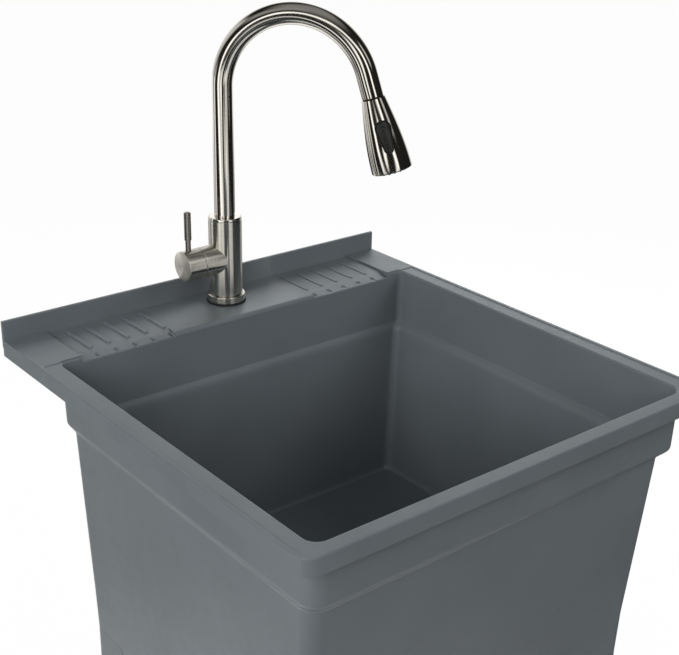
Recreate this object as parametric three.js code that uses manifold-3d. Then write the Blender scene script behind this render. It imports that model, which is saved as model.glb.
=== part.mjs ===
// Free-standing utility laundry sink: a moulded tub on four legs with levelling feet, a basket
// strainer in its floor and a single-hole tap with a pull-out spray head on its rear deck.
// Millimetres, +Z up. The origin is on the floor under the centre of the rim; the front faces -Y.

import * as THREE from "three";
import { mergeVertices } from "three/addons/utils/BufferGeometryUtils.js";
import Module from "manifold-3d";

const wasm = await Module();
wasm.setup();

// ---------------------------------------------------------------- driving dimensions

// Rim, deck and backsplash
const rimHeight = 860; // top of the rim above the floor
const rimWidth = 610; // left to right over the lip
const rimDepth = 634; // front to rear over the lip
const rimCorner = 20; // radius of the two front corners, seen from above
const rearCorner = 2; // radius of the two rear corners
const squareCorner = 1; // radius of corners that look square
const sideRim = 27; // flat of the rim beside the basin
const frontRim = 22; // flat of the rim in front of the basin
const deckDepth = 104; // rear edge to the basin
const lipDrop = 21; // height of the outer lip
const lipWall = 3.5;
const lipRound = 1.6; // rounding of the lip's top edge
const rimPlate = 4.5; // thickness of the rim
const deckPlate = 9.5; // thickness of the deck's end pads
const beadWidth = 6; // raised edge along the front and the sides
const beadHeight = 1.2;
const deckRecess = 3; // the middle of the deck lies this much lower than its end pads
const leftPad = 57; // raised pads at the deck's ends
const rightPad = 51;
const edgeRound = 2; // rounding of the edges round the basin's mouth
const deckRound = 5; // rounding of the deck's front edge between its end pads
const splashHeight = 27; // top of the backsplash over the rim
const splashThick = 5;
const splashRound = 1;

// Tub walls
const wall = 4;
const wallCorner = 20; // outer radius of the wall's upright corners
const upperDraft = 1.5; // each wall leans in this much from the rim to the shoulder
const shoulderTop = 78; // depths below the rim
const shoulderBottom = 91;
const ledgeTop = 79;
const ledgeBottom = 87;
const shoulderRound = 1;
const sideShoulder = 8.5; // how far the shoulder steps in
const frontShoulder = 13;
const rearShoulder = 5;
const basinDepth = 322; // rim to the edge of the basin's floor
const sideDraft = 10; // shoulder to the basin's bottom
const frontDraft = 16;
const rearDraft = 3;
const floorThick = 5; // at the drain
const floorRound = 8; // radius where the basin's walls meet its floor
const floorFall = 5; // slope of the floor towards the drain
const apronLap = 19; // apron below the seam between apron and leg
const apronDraft = 2;

// Soap trays on the deck
const trayWidth = 137;
const trayRear = 17; // rear end of the ribs in front of the backsplash
const traySlope = 22; // length of the slope towards the basin
const trayDrop = 4; // how far the slope falls
const ribPitch = 27;
const ribStart = 25; // first rib from the end pad
const ribWidth = 6;
const ribHeight = 2;
const notchWidth = 6; // drain notch in front of each rib
const notchLength = 10;
const notchDepth = 1.2; // below the slope's front edge

// Legs and feet
const legWidth = 75; // each flange at the top
const legFootWidth = 48; // each flange at the bottom
const legWall = 4;
const seamDrop = 59; // edge of the basin's floor to the seam between apron and leg
const legGap = 1.2; // gap beside the leg in the apron's corner
const legRound = 8; // rounding of the leg's top corners
const tenonClear = 12; // floor's underside to the leg's tenon behind the apron
const tenonTaper = 14; // the tenon's flanges are this much shorter at their top
const legShoulder = 7; // solid part under the seam
const bossSize = 32; // block for the foot's insert
const bossHeight = 34;
const insertRadius = 8;
const insertLength = 24;
const studRadius = 5;
const studLength = 42; // above the foot's pad
const footRadius = 19;
const footHeight = 12;
const footChamfer = 1.5;
const footSlope = 5; // width of the slope round the foot's top
const footSlopeDrop = 4;
const footLift = 18; // floor to the bottom of the leg
const footInset = 22; // foot's axis to the outer faces of the leg

// Strainer and waste
const bowlRadius = 42.5;
const bowlDepth = 46;
const bowlWall = 1.5;
const flangeRadius = 55;
const flangeThick = 2;
const flangeEdge = 1; // width of the slope round the flange
const holeMargin = 1; // the floor's hole is this much larger than the bowl
const outletRadius = 22; // threaded outlet of the strainer
const outletLength = 16;
const gasketWidth = 15;
const gasketThick = 3;
const frictionThick = 1.5;
const locknutHeight = 9;
const locknutWidth = 13;
const locknutLug = 4;
const basketRim = 2; // width of the basket's rim
const basketWall = 1.2;
const basketDepth = 28;
const basketHoles = 8;
const basketHole = 2.4;
const basketHoleRing = 25; // radius of the ring of holes
const knobRadius = 8;
const knobHeight = 9;
const knobRound = 1;
const postRadius = 3;
const sealRadius = 27;
const sealThick = 4;
const tailRadius = 19;
const tailWall = 1.3;
const tailLength = 100;
const tailFlange = 2.4; // width of the collar at the top of the tailpiece
const tailCollar = 1.5;
const tailWasher = 2;
const slipWall = 4.5;
const slipGrip = 11; // length of the slip nut on the outlet

// Tap body and its fixing
const tapFromRear = 45; // tap axis in front of the rear edge
const tapAside = 7; // tap axis to the right of the rim's middle
const bodyRadius = 22.7;
const bodyHeight = 119; // top of the cast body over the deck
const bodyFoot = 20; // radius of the foot inside the base ring
const ringRadius = 26.2;
const ringHeight = 9;
const ringChamfer = 1; // of the base ring and of the collar under the spout
const padRadius = 27.2; // gasket under the base ring
const padHeight = 2.5;
const hoseBore = 6; // clear way for the hose through the body
const shankRadius = 16.2;
const shankWall = 2;
const shankSocket = 17; // height of the shank inside the body
const shankLength = 62; // below the deck
const tapHole = 17.5; // hole in the deck
const nutRadius = 27;
const nutHeight = 11;
const rubberThick = 3;
const washerThick = 1.5;
const inletRadius = 3.4;
const inletBore = 2;
const inletOffset = 10.4; // from the tap axis
const inletAngle = 35; // degrees behind the tap's left and right
const inletSocket = 6;
const inletLength = 86; // below the deck
const connectorRadius = 6.4;
const connectorLength = 14;

// Spout
const spoutHeading = 37; // degrees, from straight ahead towards the right
const spoutRadius = 14;
const spoutWall = 1.3;
const collarRadius = 22.2;
const collarHeight = 3.6;
const archRadius = 98; // centreline of the gooseneck
const archHeight = 298.5; // centre of the gooseneck over the deck
const archSweep = 163; // degrees that the gooseneck turns through
const spoutStraight = 30; // straight end after the gooseneck
const spigotRadius = 13.2;
const spigotBore = 9.8;
const spigotUp = 22; // spigot inside the spout
const spigotDown = 24; // spigot inside the body
const bushingWall = 3.1;
const ringSection = 0.7; // radius of an O-ring's section
const ringPlaces = { spout_o_ring_lower: 0.2, spout_o_ring_upper: 0.6 }; // shares of the spigot's lower end
const grooveDepth = 1.6;
const guideLength = 14;
const guideLip = 1.2;
const guideBore = 7;

// Spray head
const headTurn = -68; // degrees about the head's own axis
const headLength = 95;
const headTop = 15.3;
const headMouth = 26.5;
const headWall = 2;
const headRound = 1.5;
const headRings = 7;
const coreRadius = 10;
const coreFlange = 6;
const faceThick = 7;
const buttonLength = 39.5;
const buttonWide = 8.9; // radius of the upper round of the button
const buttonNarrow = 4.7; // radius of its lower round
const buttonMiddle = 48.3; // centre of the button below the head's top
const buttonProud = 0.9; // over the head's skin
const buttonGap = 0.7; // all round the button
const bezelWidth = 1.6;
const bezelProud = 0.4;
const bezelFloor = 14; // underside of the bezel's cup from the head's axis
const cupFloor = 1.5;
const buttonTravel = 2.2; // room under the button
const nozzleRing = 19;
const nozzleCount = 16;
const nozzleRadius = 1.2;
const nozzleLength = 1.6;

// Hose
const hoseRadius = 5;
const hoseNutRadius = 7.5;
const hoseNutTop = 6; // below the head's top
const hoseNutLength = 12;

// Handle on the left side of the body; lengths run outwards from the tap axis
const hubHeight = 63.7; // hub axis over the deck
const hubRadius = 20.6;
const branchEnd = 42.4; // end of the fixed branch
const branchChamfer = 1.2;
const capFace = 69.2; // outer face of the cap
const capGap = 0.8; // gap between branch and cap
const capWall = 1; // wall of the cap at its open edge
const capCavity = 11; // depth of the cap's hollow
const capChamfer = 0.8;
const pivotInside = 18; // tilt axis to the cap's open edge
const leverOut = 59.4; // lever's axis
const neckRadius = 3.7;
const neckLength = 15.2;
const neckSocket = 6.6;
const gripRadius = 4.75;
const gripLength = 38.5;
const gripRound = 1.5;
const gripShoulder = 0.5; // slope from the neck to the grip
const cartridgeRadius = 15;
const cartridgeWall = 3;
const cartridgeStart = 13.3;
const cartridgeEnd = 34;
const cartridgeFloor = 5.2;
const carrierWall = 2.5;
const cartridgeNutRadius = 18;
const cartridgeNutLength = 7.2;
const stemRadius = 3.2;
const stemPast = 3.7; // stem beyond the tilt axis
const stemSocket = 10;
const pinRadius = 1.5;
const grubRadius = 1.7;
const grubLength = 8;

// Clearances
const seat = 0.3; // between pieces that rest on or in each other
const running = 0.5; // around pieces that turn or slide in each other
const through = 2; // how far a cut goes past the face it opens
const overlap = 1; // how far joined solids reach into each other

// Facets
const fineSides = 24;
const plainSides = 18;
const smallSides = 8;
const nozzleSides = 5;
const cornerSteps = 3;
const roundSteps = 3;
const archSteps = 26;

// ---------------------------------------------------------------- geometry helpers

const degrees = Math.PI / 180;
const halfWidth = rimWidth / 2;
const halfDepth = rimDepth / 2;

// A closed geometry as a solid that can be joined and cut.
function solidOf(geometry) {
  const plain = geometry.index ? geometry.toNonIndexed() : geometry.clone();
  plain.deleteAttribute("normal");
  plain.deleteAttribute("uv");
  const merged = mergeVertices(plain, 1e-4);
  const corners = merged.index.array;
  const kept = [];
  for (let i = 0; i < corners.length; i += 3) {
    const [a, b, c] = corners.subarray(i, i + 3);
    if (a !== b && b !== c && c !== a) kept.push(a, b, c);
  }
  return new wasm.Manifold(
    new wasm.Mesh({
      numProp: 3,
      vertProperties: merged.attributes.position.array,
      triVerts: new Uint32Array(kept),
    }),
  );
}

function geometryOf(made) {
  const mesh = made.getMesh();
  const geometry = new THREE.BufferGeometry();
  geometry.setAttribute("position", new THREE.BufferAttribute(mesh.vertProperties, 3));
  geometry.setIndex(new THREE.BufferAttribute(mesh.triVerts, 1));
  return geometry;
}

function join(...geometries) {
  return geometryOf(geometries.map(solidOf).reduce((all, next) => all.add(next)));
}

function cut(geometry, ...tools) {
  return geometryOf(tools.map(solidOf).reduce((rest, tool) => rest.subtract(tool), solidOf(geometry)));
}

function common(first, second) {
  return geometryOf(solidOf(first).intersect(solidOf(second)));
}

// A solid of revolution about Z. The profile is a list of [radius, height] points that either
// starts and ends on the axis or goes round a closed loop.
function turned(profile, sides = plainSides) {
  const points = profile.map(([radius, height]) => new THREE.Vector2(radius, height));
  const onAxis = points[0].x === 0 && points[points.length - 1].x === 0;
  if (!onAxis) points.push(points[0].clone());
  if (THREE.ShapeUtils.area(points) < 0) points.reverse();
  return new THREE.LatheGeometry(points, sides).rotateX(Math.PI / 2);
}

function rod(radius, low, high, sides = plainSides) {
  return turned([[0, low], [radius, low], [radius, high], [0, high]], sides);
}

function sleeve(inner, outer, low, high, sides = plainSides) {
  return turned([[inner, low], [outer, low], [outer, high], [inner, high]], sides);
}

function block(x0, x1, y0, y1, z0, z1) {
  const box = new THREE.BoxGeometry(x1 - x0, y1 - y0, z1 - z0);
  return box.translate((x0 + x1) / 2, (y0 + y1) / 2, (z0 + z1) / 2);
}

function extruded(shape, depth, steps) {
  return new THREE.ExtrudeGeometry(shape, { depth, bevelEnabled: false, curveSegments: steps });
}

function outline(points) {
  return new THREE.Shape(points.map(([x, y]) => new THREE.Vector2(x, y)));
}

// A shape drawn in X and Y, standing from height low to high.
function upright(shape, low, high, steps = 3) {
  return extruded(shape, high - low, steps).translate(0, 0, low);
}

// A shape drawn in Y and Z, running from x0 to x1.
function alongX(shape, x0, x1, steps = 3) {
  return extruded(shape, x1 - x0, steps).rotateX(Math.PI / 2).rotateZ(Math.PI / 2).translate(x0, 0, 0);
}

// A shape drawn in X and Z, running from y0 to y1.
function alongY(shape, y0, y1, steps = 3) {
  return extruded(shape, y1 - y0, steps).rotateX(Math.PI / 2).translate(0, y1, 0);
}

// A round section, solid or hollow, drawn along a path.
function drawn(path, outer, inner, steps, sides) {
  const section = new THREE.Shape();
  section.absarc(0, 0, outer, 0, 2 * Math.PI);
  if (inner > 0) {
    const hole = new THREE.Path();
    hole.absarc(0, 0, inner, 0, 2 * Math.PI, true);
    section.holes.push(hole);
  }
  return new THREE.ExtrudeGeometry(section, { extrudePath: path, steps, curveSegments: sides / 2 });
}

// One ring of points round a rectangle with round corners. The radii start at the corner with
// the largest x and y and go round anticlockwise.
function ring(x0, x1, y0, y1, z, radii) {
  const corners = [[x1, y1], [x0, y1], [x0, y0], [x1, y0]];
  const signs = [[-1, -1], [1, -1], [1, 1], [-1, 1]];
  const points = [];
  corners.forEach(([x, y], corner) => {
    const radius = radii[corner];
    const [sx, sy] = signs[corner];
    for (let i = 0; i <= cornerSteps; i++) {
      const angle = (corner + i / cornerSteps) * (Math.PI / 2);
      points.push([x + radius * (sx + Math.cos(angle)), y + radius * (sy + Math.sin(angle)), z]);
    }
  });
  return points;
}

// A solid through a stack of rings, listed from the top down.
function loft(rings) {
  const count = rings[0].length;
  const positions = [];
  const face = (a, b, c) => positions.push(...a, ...b, ...c);
  const middle = (points) => points.reduce((sum, p) => sum.map((v, i) => v + p[i] / count), [0, 0, 0]);
  const top = rings[0];
  const bottom = rings[rings.length - 1];
  const topMiddle = middle(top);
  const bottomMiddle = middle(bottom);
  for (let i = 0; i < count; i++) {
    const next = (i + 1) % count;
    face(top[i], top[next], topMiddle);
    face(bottom[next], bottom[i], bottomMiddle);
    for (let level = 1; level < rings.length; level++) {
      const upper = rings[level - 1];
      const lower = rings[level];
      face(upper[i], lower[i], lower[next]);
      face(upper[i], lower[next], upper[next]);
    }
  }
  const geometry = new THREE.BufferGeometry();
  return geometry.setAttribute("position", new THREE.Float32BufferAttribute(positions, 3));
}

// Distances inside the rim's outer edges, for the sides, the front and the rear.
function inset(side, front, rear) {
  return { side, front, rear };
}

function further(base, side, front = side, rear = side) {
  return inset(base.side + side, base.front + front, base.rear + rear);
}

function insetRing(edges, depth, radius) {
  const radii = [radius, radius, radius, radius];
  const x = halfWidth - edges.side;
  return ring(-x, x, edges.front - halfDepth, halfDepth - edges.rear, -depth, radii);
}

// ---------------------------------------------------------------- materials

function finish(color, roughness, metalness) {
  return new THREE.MeshStandardMaterial({ color, roughness, metalness });
}

const greyPlastic = () => finish(0x5d6469, 0.55, 0);
const brushedNickel = () => finish(0xb9b2a6, 0.3, 1);
const stainless = () => finish(0xc4c6c8, 0.25, 1);
const yellowBrass = () => finish(0xb08d4c, 0.35, 1);
const blackPlastic = () => finish(0x161616, 0.45, 0);
const whitePlastic = () => finish(0xe6e4de, 0.5, 0);
const blackRubber = () => finish(0x1b1b1b, 0.85, 0);
const greyBraid = () => finish(0x3a3b3d, 0.6, 0);
const fibreCard = () => finish(0xc9b78f, 0.9, 0);

function piece(parent, name, material, geometry) {
  geometry.computeVertexNormals();
  const mesh = new THREE.Mesh(geometry, material);
  mesh.name = name;
  parent.add(mesh);
}

function group(parent, x, y, z) {
  const made = new THREE.Group();
  made.position.set(x, y, z);
  parent.add(made);
  return made;
}

// ---------------------------------------------------------------- tub

const wallTop = inset(sideRim - wall, frontRim - wall, deckDepth - wall);
const wallShoulder = further(wallTop, upperDraft);
const wallBody = further(wallShoulder, sideShoulder, frontShoulder, rearShoulder);
const wallBottom = further(wallBody, sideDraft, frontDraft, rearDraft);
const wallApron = further(wallBottom, apronDraft);
const insideCorner = wallCorner - wall;
const floorEdge = basinDepth + floorThick;
const legSeam = floorEdge + seamDrop; // depth below the rim
const apronDepth = legSeam + apronLap;
const drainDepth = basinDepth + floorFall; // top of the floor at the drain
const floorUnder = drainDepth + floorThick;
const basinFront = halfDepth - deckDepth; // the deck's front edge
const deckInside = halfDepth - splashThick;
const drainY = (wallBottom.front - wallBottom.rear) / 2;

// The apron's outer faces at a depth below the rim.
function apronAt(depth) {
  const share = (depth - floorEdge) / (apronDepth - floorEdge);
  return further(wallBottom, apronDraft * share);
}

function tubOutside() {
  return loft([
    insetRing(wallTop, rimPlate / 2, wallCorner),
    insetRing(wallShoulder, shoulderTop, wallCorner),
    insetRing(further(wallShoulder, shoulderRound), shoulderTop + 2 * shoulderRound, wallCorner),
    insetRing(further(wallBody, -shoulderRound), shoulderBottom - 2 * shoulderRound, wallCorner),
    insetRing(wallBody, shoulderBottom, wallCorner),
    insetRing(wallBottom, floorEdge, wallCorner),
    insetRing(wallApron, apronDepth, wallCorner),
  ]);
}

// The hollow of the basin, from above the rim down the walls and the sloping floor to the drain.
function basinHollow() {
  const mouth = further(wallTop, wall);
  const atLedge = further(mouth, upperDraft);
  const underLedge = further(wallBody, wall);
  const wallFoot = further(wallBottom, wall);
  const rings = [
    insetRing(further(mouth, -edgeRound), -through, insideCorner + edgeRound),
    insetRing(further(mouth, -edgeRound), beadHeight, insideCorner + edgeRound),
    insetRing(further(mouth, -0.3 * edgeRound), beadHeight + 0.3 * edgeRound, insideCorner),
    insetRing(mouth, beadHeight + edgeRound, insideCorner),
    insetRing(atLedge, ledgeTop, insideCorner),
    insetRing(further(atLedge, shoulderRound), ledgeTop + shoulderRound, insideCorner),
    insetRing(further(underLedge, -shoulderRound), ledgeBottom - shoulderRound, insideCorner),
    insetRing(underLedge, ledgeBottom, insideCorner),
  ];
  for (let i = 0; i <= roundSteps; i++) {
    const angle = (i / roundSteps) * (Math.PI / 2);
    const inward = floorRound * (1 - Math.cos(angle));
    const depth = basinDepth - floorRound * (1 - Math.sin(angle));
    rings.push(insetRing(further(wallFoot, inward), depth, insideCorner + inward));
  }
  const reach = flangeRadius + through;
  const radii = [reach, reach, reach, reach];
  rings.push(ring(-reach, reach, drainY - reach, drainY + reach, -drainDepth, radii));
  return loft(rings);
}

// The plate of rim and deck with its lip, and the raised edge round the front and the sides.
function rimPlateSolid() {
  const edge = (offset, z) => {
    const front = rimCorner - offset;
    const radii = [rearCorner, rearCorner, front, front];
    return ring(offset - halfWidth, halfWidth - offset, offset - halfDepth, halfDepth - offset, z, radii);
  };
  const plate = loft([
    edge(lipRound, 0),
    edge(0.3 * lipRound, -0.3 * lipRound),
    edge(0, -lipRound),
    edge(0, -lipDrop),
  ]);
  const x = halfWidth - beadWidth;
  const bead = rimCorner - beadWidth;
  const radii = [squareCorner, squareCorner, bead, bead];
  const field = (z) => ring(-x, x, beadWidth - halfDepth, basinFront, z, radii);
  return cut(plate, loft([field(through), field(-beadHeight)]));
}

// The hollow under rim and deck, between the lip and the tub's wall.
function underRim() {
  const x = halfWidth - lipWall;
  const front = rimCorner - lipWall;
  const radii = [squareCorner, squareCorner, front, front];
  const under = (rear, z) => ring(-x, x, lipWall - halfDepth, rear, z, radii);
  const low = -lipDrop - through;
  const rim = loft([under(basinFront, -rimPlate), under(basinFront, low)]);
  const deck = loft([under(halfDepth - lipWall, -deckPlate), under(halfDepth - lipWall, low)]);
  return join(rim, deck);
}

function backsplash() {
  const rear = halfDepth;
  const shape = outline([
    [rear, -deckPlate],
    [rear, splashHeight - splashRound],
    [rear - splashRound, splashHeight],
    [deckInside + splashRound, splashHeight],
    [deckInside, splashHeight - splashRound],
    [deckInside, -deckPlate],
  ]);
  return alongX(shape, -halfWidth, halfWidth);
}

// A cut that lowers part of the deck; its front edge is rounded, and it may slope to the basin.
function deckCut(x0, x1, round, slope, drop) {
  const low = -deckRecess - drop;
  const points = [[basinFront - through, through], [basinFront - through, low - round]];
  for (let i = 0; i <= roundSteps; i++) {
    const angle = (i / roundSteps) * (Math.PI / 2);
    points.push([basinFront + round * (1 - Math.cos(angle)), low - round * (1 - Math.sin(angle))]);
  }
  points.push([basinFront + slope, -deckRecess], [deckInside, -deckRecess], [deckInside, through]);
  return alongX(outline(points), x0, x1);
}

// The end of the recessed deck beside a pad; side is -1 on the left and 1 on the right.
function padEdge(side) {
  return side * (halfWidth - (side < 0 ? leftPad : rightPad));
}

// The ribs' places across the tray on one side.
function ribPlaces(side) {
  const places = [];
  for (let across = ribStart; across <= trayWidth - ribWidth / 2; across += ribPitch) {
    places.push(padEdge(side) - side * across);
  }
  return places;
}

function trayRib(x) {
  const half = ribWidth / 2;
  const shape = new THREE.Shape();
  shape.absarc(x, basinFront + traySlope + half, half, Math.PI, 2 * Math.PI);
  shape.absarc(x, deckInside - trayRear, half, 0, Math.PI);
  return upright(shape, -deckRecess - overlap, ribHeight - deckRecess, 2);
}

function trayNotch(x) {
  const half = notchWidth / 2;
  const shape = new THREE.Shape();
  shape.moveTo(x + half, basinFront - through);
  shape.absarc(x, basinFront + notchLength - half, half, 0, Math.PI);
  shape.lineTo(x - half, basinFront - through);
  return upright(shape, -deckRecess - trayDrop - notchDepth, through, 4);
}

// The corner cut out of the apron for a leg; sx and sy are -1 or 1 and pick the corner.
function legNotch(sx, sy) {
  const faces = apronAt(apronDepth);
  const x = sx * (halfWidth - faces.side);
  const y = sy * (halfDepth - (sy > 0 ? faces.rear : faces.front));
  const reach = legWidth + legGap;
  const round = legRound + legGap;
  const shapeFrom = (start, sign) => {
    const points = [[-through, -apronDepth - through], [reach, -apronDepth - through]];
    for (let i = 0; i <= cornerSteps; i++) {
      const angle = (i / cornerSteps) * (Math.PI / 2);
      points.push([reach - round * (1 - Math.cos(angle)), -legSeam - round * (1 - Math.sin(angle))]);
    }
    points.push([-through, -legSeam]);
    return outline(points.map(([along, z]) => [start + sign * along, z]));
  };
  const inward = wallCorner + wall;
  const onFront = alongY(shapeFrom(x, -sx), Math.min(y, y - sy * inward), Math.max(y, y - sy * inward));
  const onSide = alongX(shapeFrom(y, -sy), Math.min(x, x - sx * inward), Math.max(x, x - sx * inward));
  const grow = 2 * apronDraft;
  const x0 = Math.min(x + sx * grow, x - sx * wallCorner);
  const x1 = Math.max(x + sx * grow, x - sx * wallCorner);
  const y0 = Math.min(y + sy * grow, y - sy * wallCorner);
  const y1 = Math.max(y + sy * grow, y - sy * wallCorner);
  const corner = block(x0, x1, y0, y1, -apronDepth - through, -legSeam);
  return join(onFront.translate(0, sy * grow, 0), onSide.translate(sx * grow, 0, 0), corner);
}

const cornerSigns = [[-1, -1], [1, -1], [1, 1], [-1, 1]];

function buildTub(parent) {
  const hollowBelow = loft([
    insetRing(further(apronAt(floorUnder), wall), floorUnder, insideCorner),
    insetRing(further(apronAt(apronDepth + through), wall), apronDepth + through, insideCorner),
  ]);
  const left = padEdge(-1);
  const right = padEdge(1);
  const drain = rod(bowlRadius + holeMargin, -floorUnder - through, -drainDepth + through, fineSides);
  const sunk = flangeThick + seat;
  const flange = rod(flangeRadius + holeMargin, -drainDepth - sunk, through - drainDepth, fineSides);
  const tap = rod(tapHole, -deckPlate - through, through);
  const cuts = [
    basinHollow(),
    hollowBelow,
    deckCut(left, right, deckRound, 2 * deckRound, 0),
    deckCut(left, left + trayWidth, edgeRound, traySlope, trayDrop),
    deckCut(right - trayWidth, right, edgeRound, traySlope, trayDrop),
    ...[-1, 1].flatMap(ribPlaces).map(trayNotch),
    ...cornerSigns.map(([sx, sy]) => legNotch(sx, sy)),
    drain.translate(0, drainY, 0),
    flange.translate(0, drainY, 0),
    tap.translate(tapAside, halfDepth - tapFromRear, 0),
  ];
  const plate = cut(rimPlateSolid(), underRim());
  const shell = cut(join(plate, tubOutside(), backsplash()), ...cuts);
  piece(parent, "tub", greyPlastic(), join(shell, ...[-1, 1].flatMap(ribPlaces).map(trayRib)));
}

// ---------------------------------------------------------------- legs and feet

// A square in one corner of the apron, between two distances from the given faces.
function cornerRing(sx, sy, faces, near, far, z, radius) {
  const x = halfWidth - faces.side;
  const y = halfDepth - (sy > 0 ? faces.rear : faces.front);
  const xs = [sx * (x - near), sx * (x - far)];
  const ys = [sy * (y - near), sy * (y - far)];
  const order = [[1, 1], [-1, 1], [-1, -1], [1, -1]];
  const radii = order.map(([cx, cy]) => (cx === sx && cy === sy ? radius : squareCorner));
  return ring(Math.min(...xs), Math.max(...xs), Math.min(...ys), Math.max(...ys), z, radii);
}

function buildLeg(parent, name, sx, sy) {
  const faces = apronAt(legSeam);
  const seam = -legSeam - seat;
  const bottom = footLift - rimHeight;
  const corner = (near, far, z, radius, at = faces) => cornerRing(sx, sy, at, near, far, z, radius);
  const past = legWidth + through;
  const post = loft([
    corner(0, legWidth - legRound, seam, wallCorner),
    corner(0, legWidth - 0.3 * legRound, seam - 0.3 * legRound, wallCorner),
    corner(0, legWidth, seam - legRound, wallCorner),
    corner(0, legFootWidth, bottom, wallCorner),
  ]);
  const hollow = loft([
    corner(legWall, past, seam - legShoulder, insideCorner),
    corner(legWall, past, bottom - through, insideCorner),
  ]);
  const tenonOut = wall + seat;
  const tenonIn = tenonOut + legWall;
  const topHollow = loft([
    corner(tenonIn, past, seam + through, insideCorner),
    corner(tenonIn, past, seam - legShoulder - overlap, insideCorner),
  ]);
  const tenonTop = -floorUnder - tenonClear;
  const tenonReach = legWidth - legRound;
  const tenon = loft([
    corner(tenonOut, tenonReach - tenonTaper, tenonTop, insideCorner, apronAt(-tenonTop)),
    corner(tenonOut, tenonReach, seam, insideCorner),
    corner(tenonOut, tenonReach, seam - overlap, insideCorner),
  ]);
  const tenonHollow = loft([
    corner(tenonIn, past, tenonTop + through, insideCorner, apronAt(-tenonTop)),
    corner(tenonIn, past, seam, insideCorner),
    corner(tenonIn, past, seam - through, insideCorner),
  ]);
  const boss = loft([
    corner(legWall - overlap, legWall + bossSize, bottom + bossHeight, insideCorner),
    corner(legWall - overlap, legWall + bossSize, bottom, insideCorner),
  ]);
  const x = sx * (halfWidth - faces.side - footInset);
  const y = sy * (halfDepth - (sy > 0 ? faces.rear : faces.front) - footInset);
  const insertTop = bottom + insertLength + seat;
  const socket = rod(insertRadius + seat, bottom - through, insertTop).translate(x, y, 0);
  const studWay = rod(studRadius + running, bottom, bottom + bossHeight + through).translate(x, y, 0);
  const body = join(cut(post, hollow, topHollow), cut(tenon, tenonHollow), boss);
  piece(parent, "leg_" + name, greyPlastic(), cut(body, socket, studWay));

  const atFoot = group(parent, x, y, -rimHeight);
  const bore = studRadius + running;
  const insert = sleeve(bore, insertRadius, footLift, footLift + insertLength);
  piece(atFoot, "leg_insert_" + name, yellowBrass(), insert);
  const foot = turned([
    [0, 0],
    [footRadius - footChamfer, 0],
    [footRadius, footChamfer],
    [footRadius, footHeight - footSlopeDrop],
    [footRadius - footSlope, footHeight],
    [studRadius, footHeight],
    [studRadius, footHeight + studLength],
    [0, footHeight + studLength],
  ]);
  piece(atFoot, "foot_" + name, blackPlastic(), foot);
}

// ---------------------------------------------------------------- strainer and waste

// Heights are below the top of the floor at the drain.
const flangeLow = -flangeThick;
const bowlLow = flangeLow - bowlDepth;
const outletLow = bowlLow - outletLength;
const underFloor = -floorThick - seat;

function buildStrainer(parent) {
  const inside = bowlRadius - bowlWall;
  const body = turned(
    [
      [inside, -bowlWall],
      [inside + bowlWall, 0],
      [flangeRadius - flangeEdge, 0],
      [flangeRadius, flangeLow],
      [bowlRadius, flangeLow],
      [bowlRadius, bowlLow],
      [outletRadius, bowlLow],
      [outletRadius, outletLow],
      [outletRadius - bowlWall, outletLow],
      [outletRadius - bowlWall, bowlLow + bowlWall],
      [inside, bowlLow + bowlWall],
    ],
    fineSides,
  );
  piece(parent, "strainer_body", stainless(), body);

  const grip = bowlRadius + seat;
  const frictionTop = underFloor - gasketThick - seat;
  const nutTop = frictionTop - frictionThick - seat;
  const gasket = sleeve(grip, grip + gasketWidth, underFloor - gasketThick, underFloor, fineSides);
  piece(parent, "strainer_gasket", blackRubber(), gasket);
  const friction = sleeve(grip, grip + gasketWidth, frictionTop - frictionThick, frictionTop, fineSides);
  piece(parent, "friction_washer", fibreCard(), friction);

  const nutLow = nutTop - locknutHeight;
  let locknut = sleeve(grip, grip + locknutWidth, nutLow, nutTop, fineSides);
  const lug = grip + locknutWidth;
  for (let i = 0; i < 6; i++) {
    const bar = block(lug - overlap, lug + locknutLug, -locknutLug, locknutLug, nutLow, nutTop);
    locknut = join(locknut, bar.rotateZ(i * 60 * degrees));
  }
  piece(parent, "strainer_locknut", stainless(), locknut);
}

function buildBasket(parent) {
  const rim = bowlRadius - bowlWall - running;
  const cup = rim - basketRim;
  const rimTop = -bowlWall - basketWall;
  const cupLow = rimTop - basketDepth;
  const sealLow = bowlLow + bowlWall + seat;
  const collar = sealLow + sealThick + seat;
  const outer = turned([
    [0, cupLow],
    [cup, cupLow],
    [cup, rimTop - basketWall],
    [rim, rimTop - basketWall],
    [rim, rimTop],
    [cup - basketWall, rimTop],
    [cup - basketWall, cupLow + basketWall],
    [postRadius, cupLow + basketWall],
    [postRadius, -knobHeight],
    [knobRadius, knobRound - knobHeight],
    [knobRadius, -knobRound],
    [knobRadius - knobRound, 0],
    [0, 0],
  ]);
  const postLow = sealLow + seat;
  const post = turned([
    [0, postLow],
    [postRadius, postLow],
    [postRadius, collar],
    [2 * postRadius, collar],
    [2 * postRadius, collar + basketWall],
    [postRadius, collar + basketWall],
    [postRadius, cupLow + basketWall / 2],
    [0, cupLow + basketWall / 2],
  ], smallSides);
  const holes = [];
  for (let i = 0; i < basketHoles; i++) {
    const hole = rod(basketHole, cupLow - through, cupLow + 2 * basketWall, smallSides);
    holes.push(hole.translate(basketHoleRing, 0, 0).rotateZ((i * 360 * degrees) / basketHoles));
  }
  piece(parent, "strainer_basket", stainless(), cut(join(outer, post), ...holes));
  const seal = sleeve(postRadius + seat, sealRadius, sealLow, sealLow + sealThick);
  piece(parent, "basket_seal", blackRubber(), seal);
}

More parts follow.
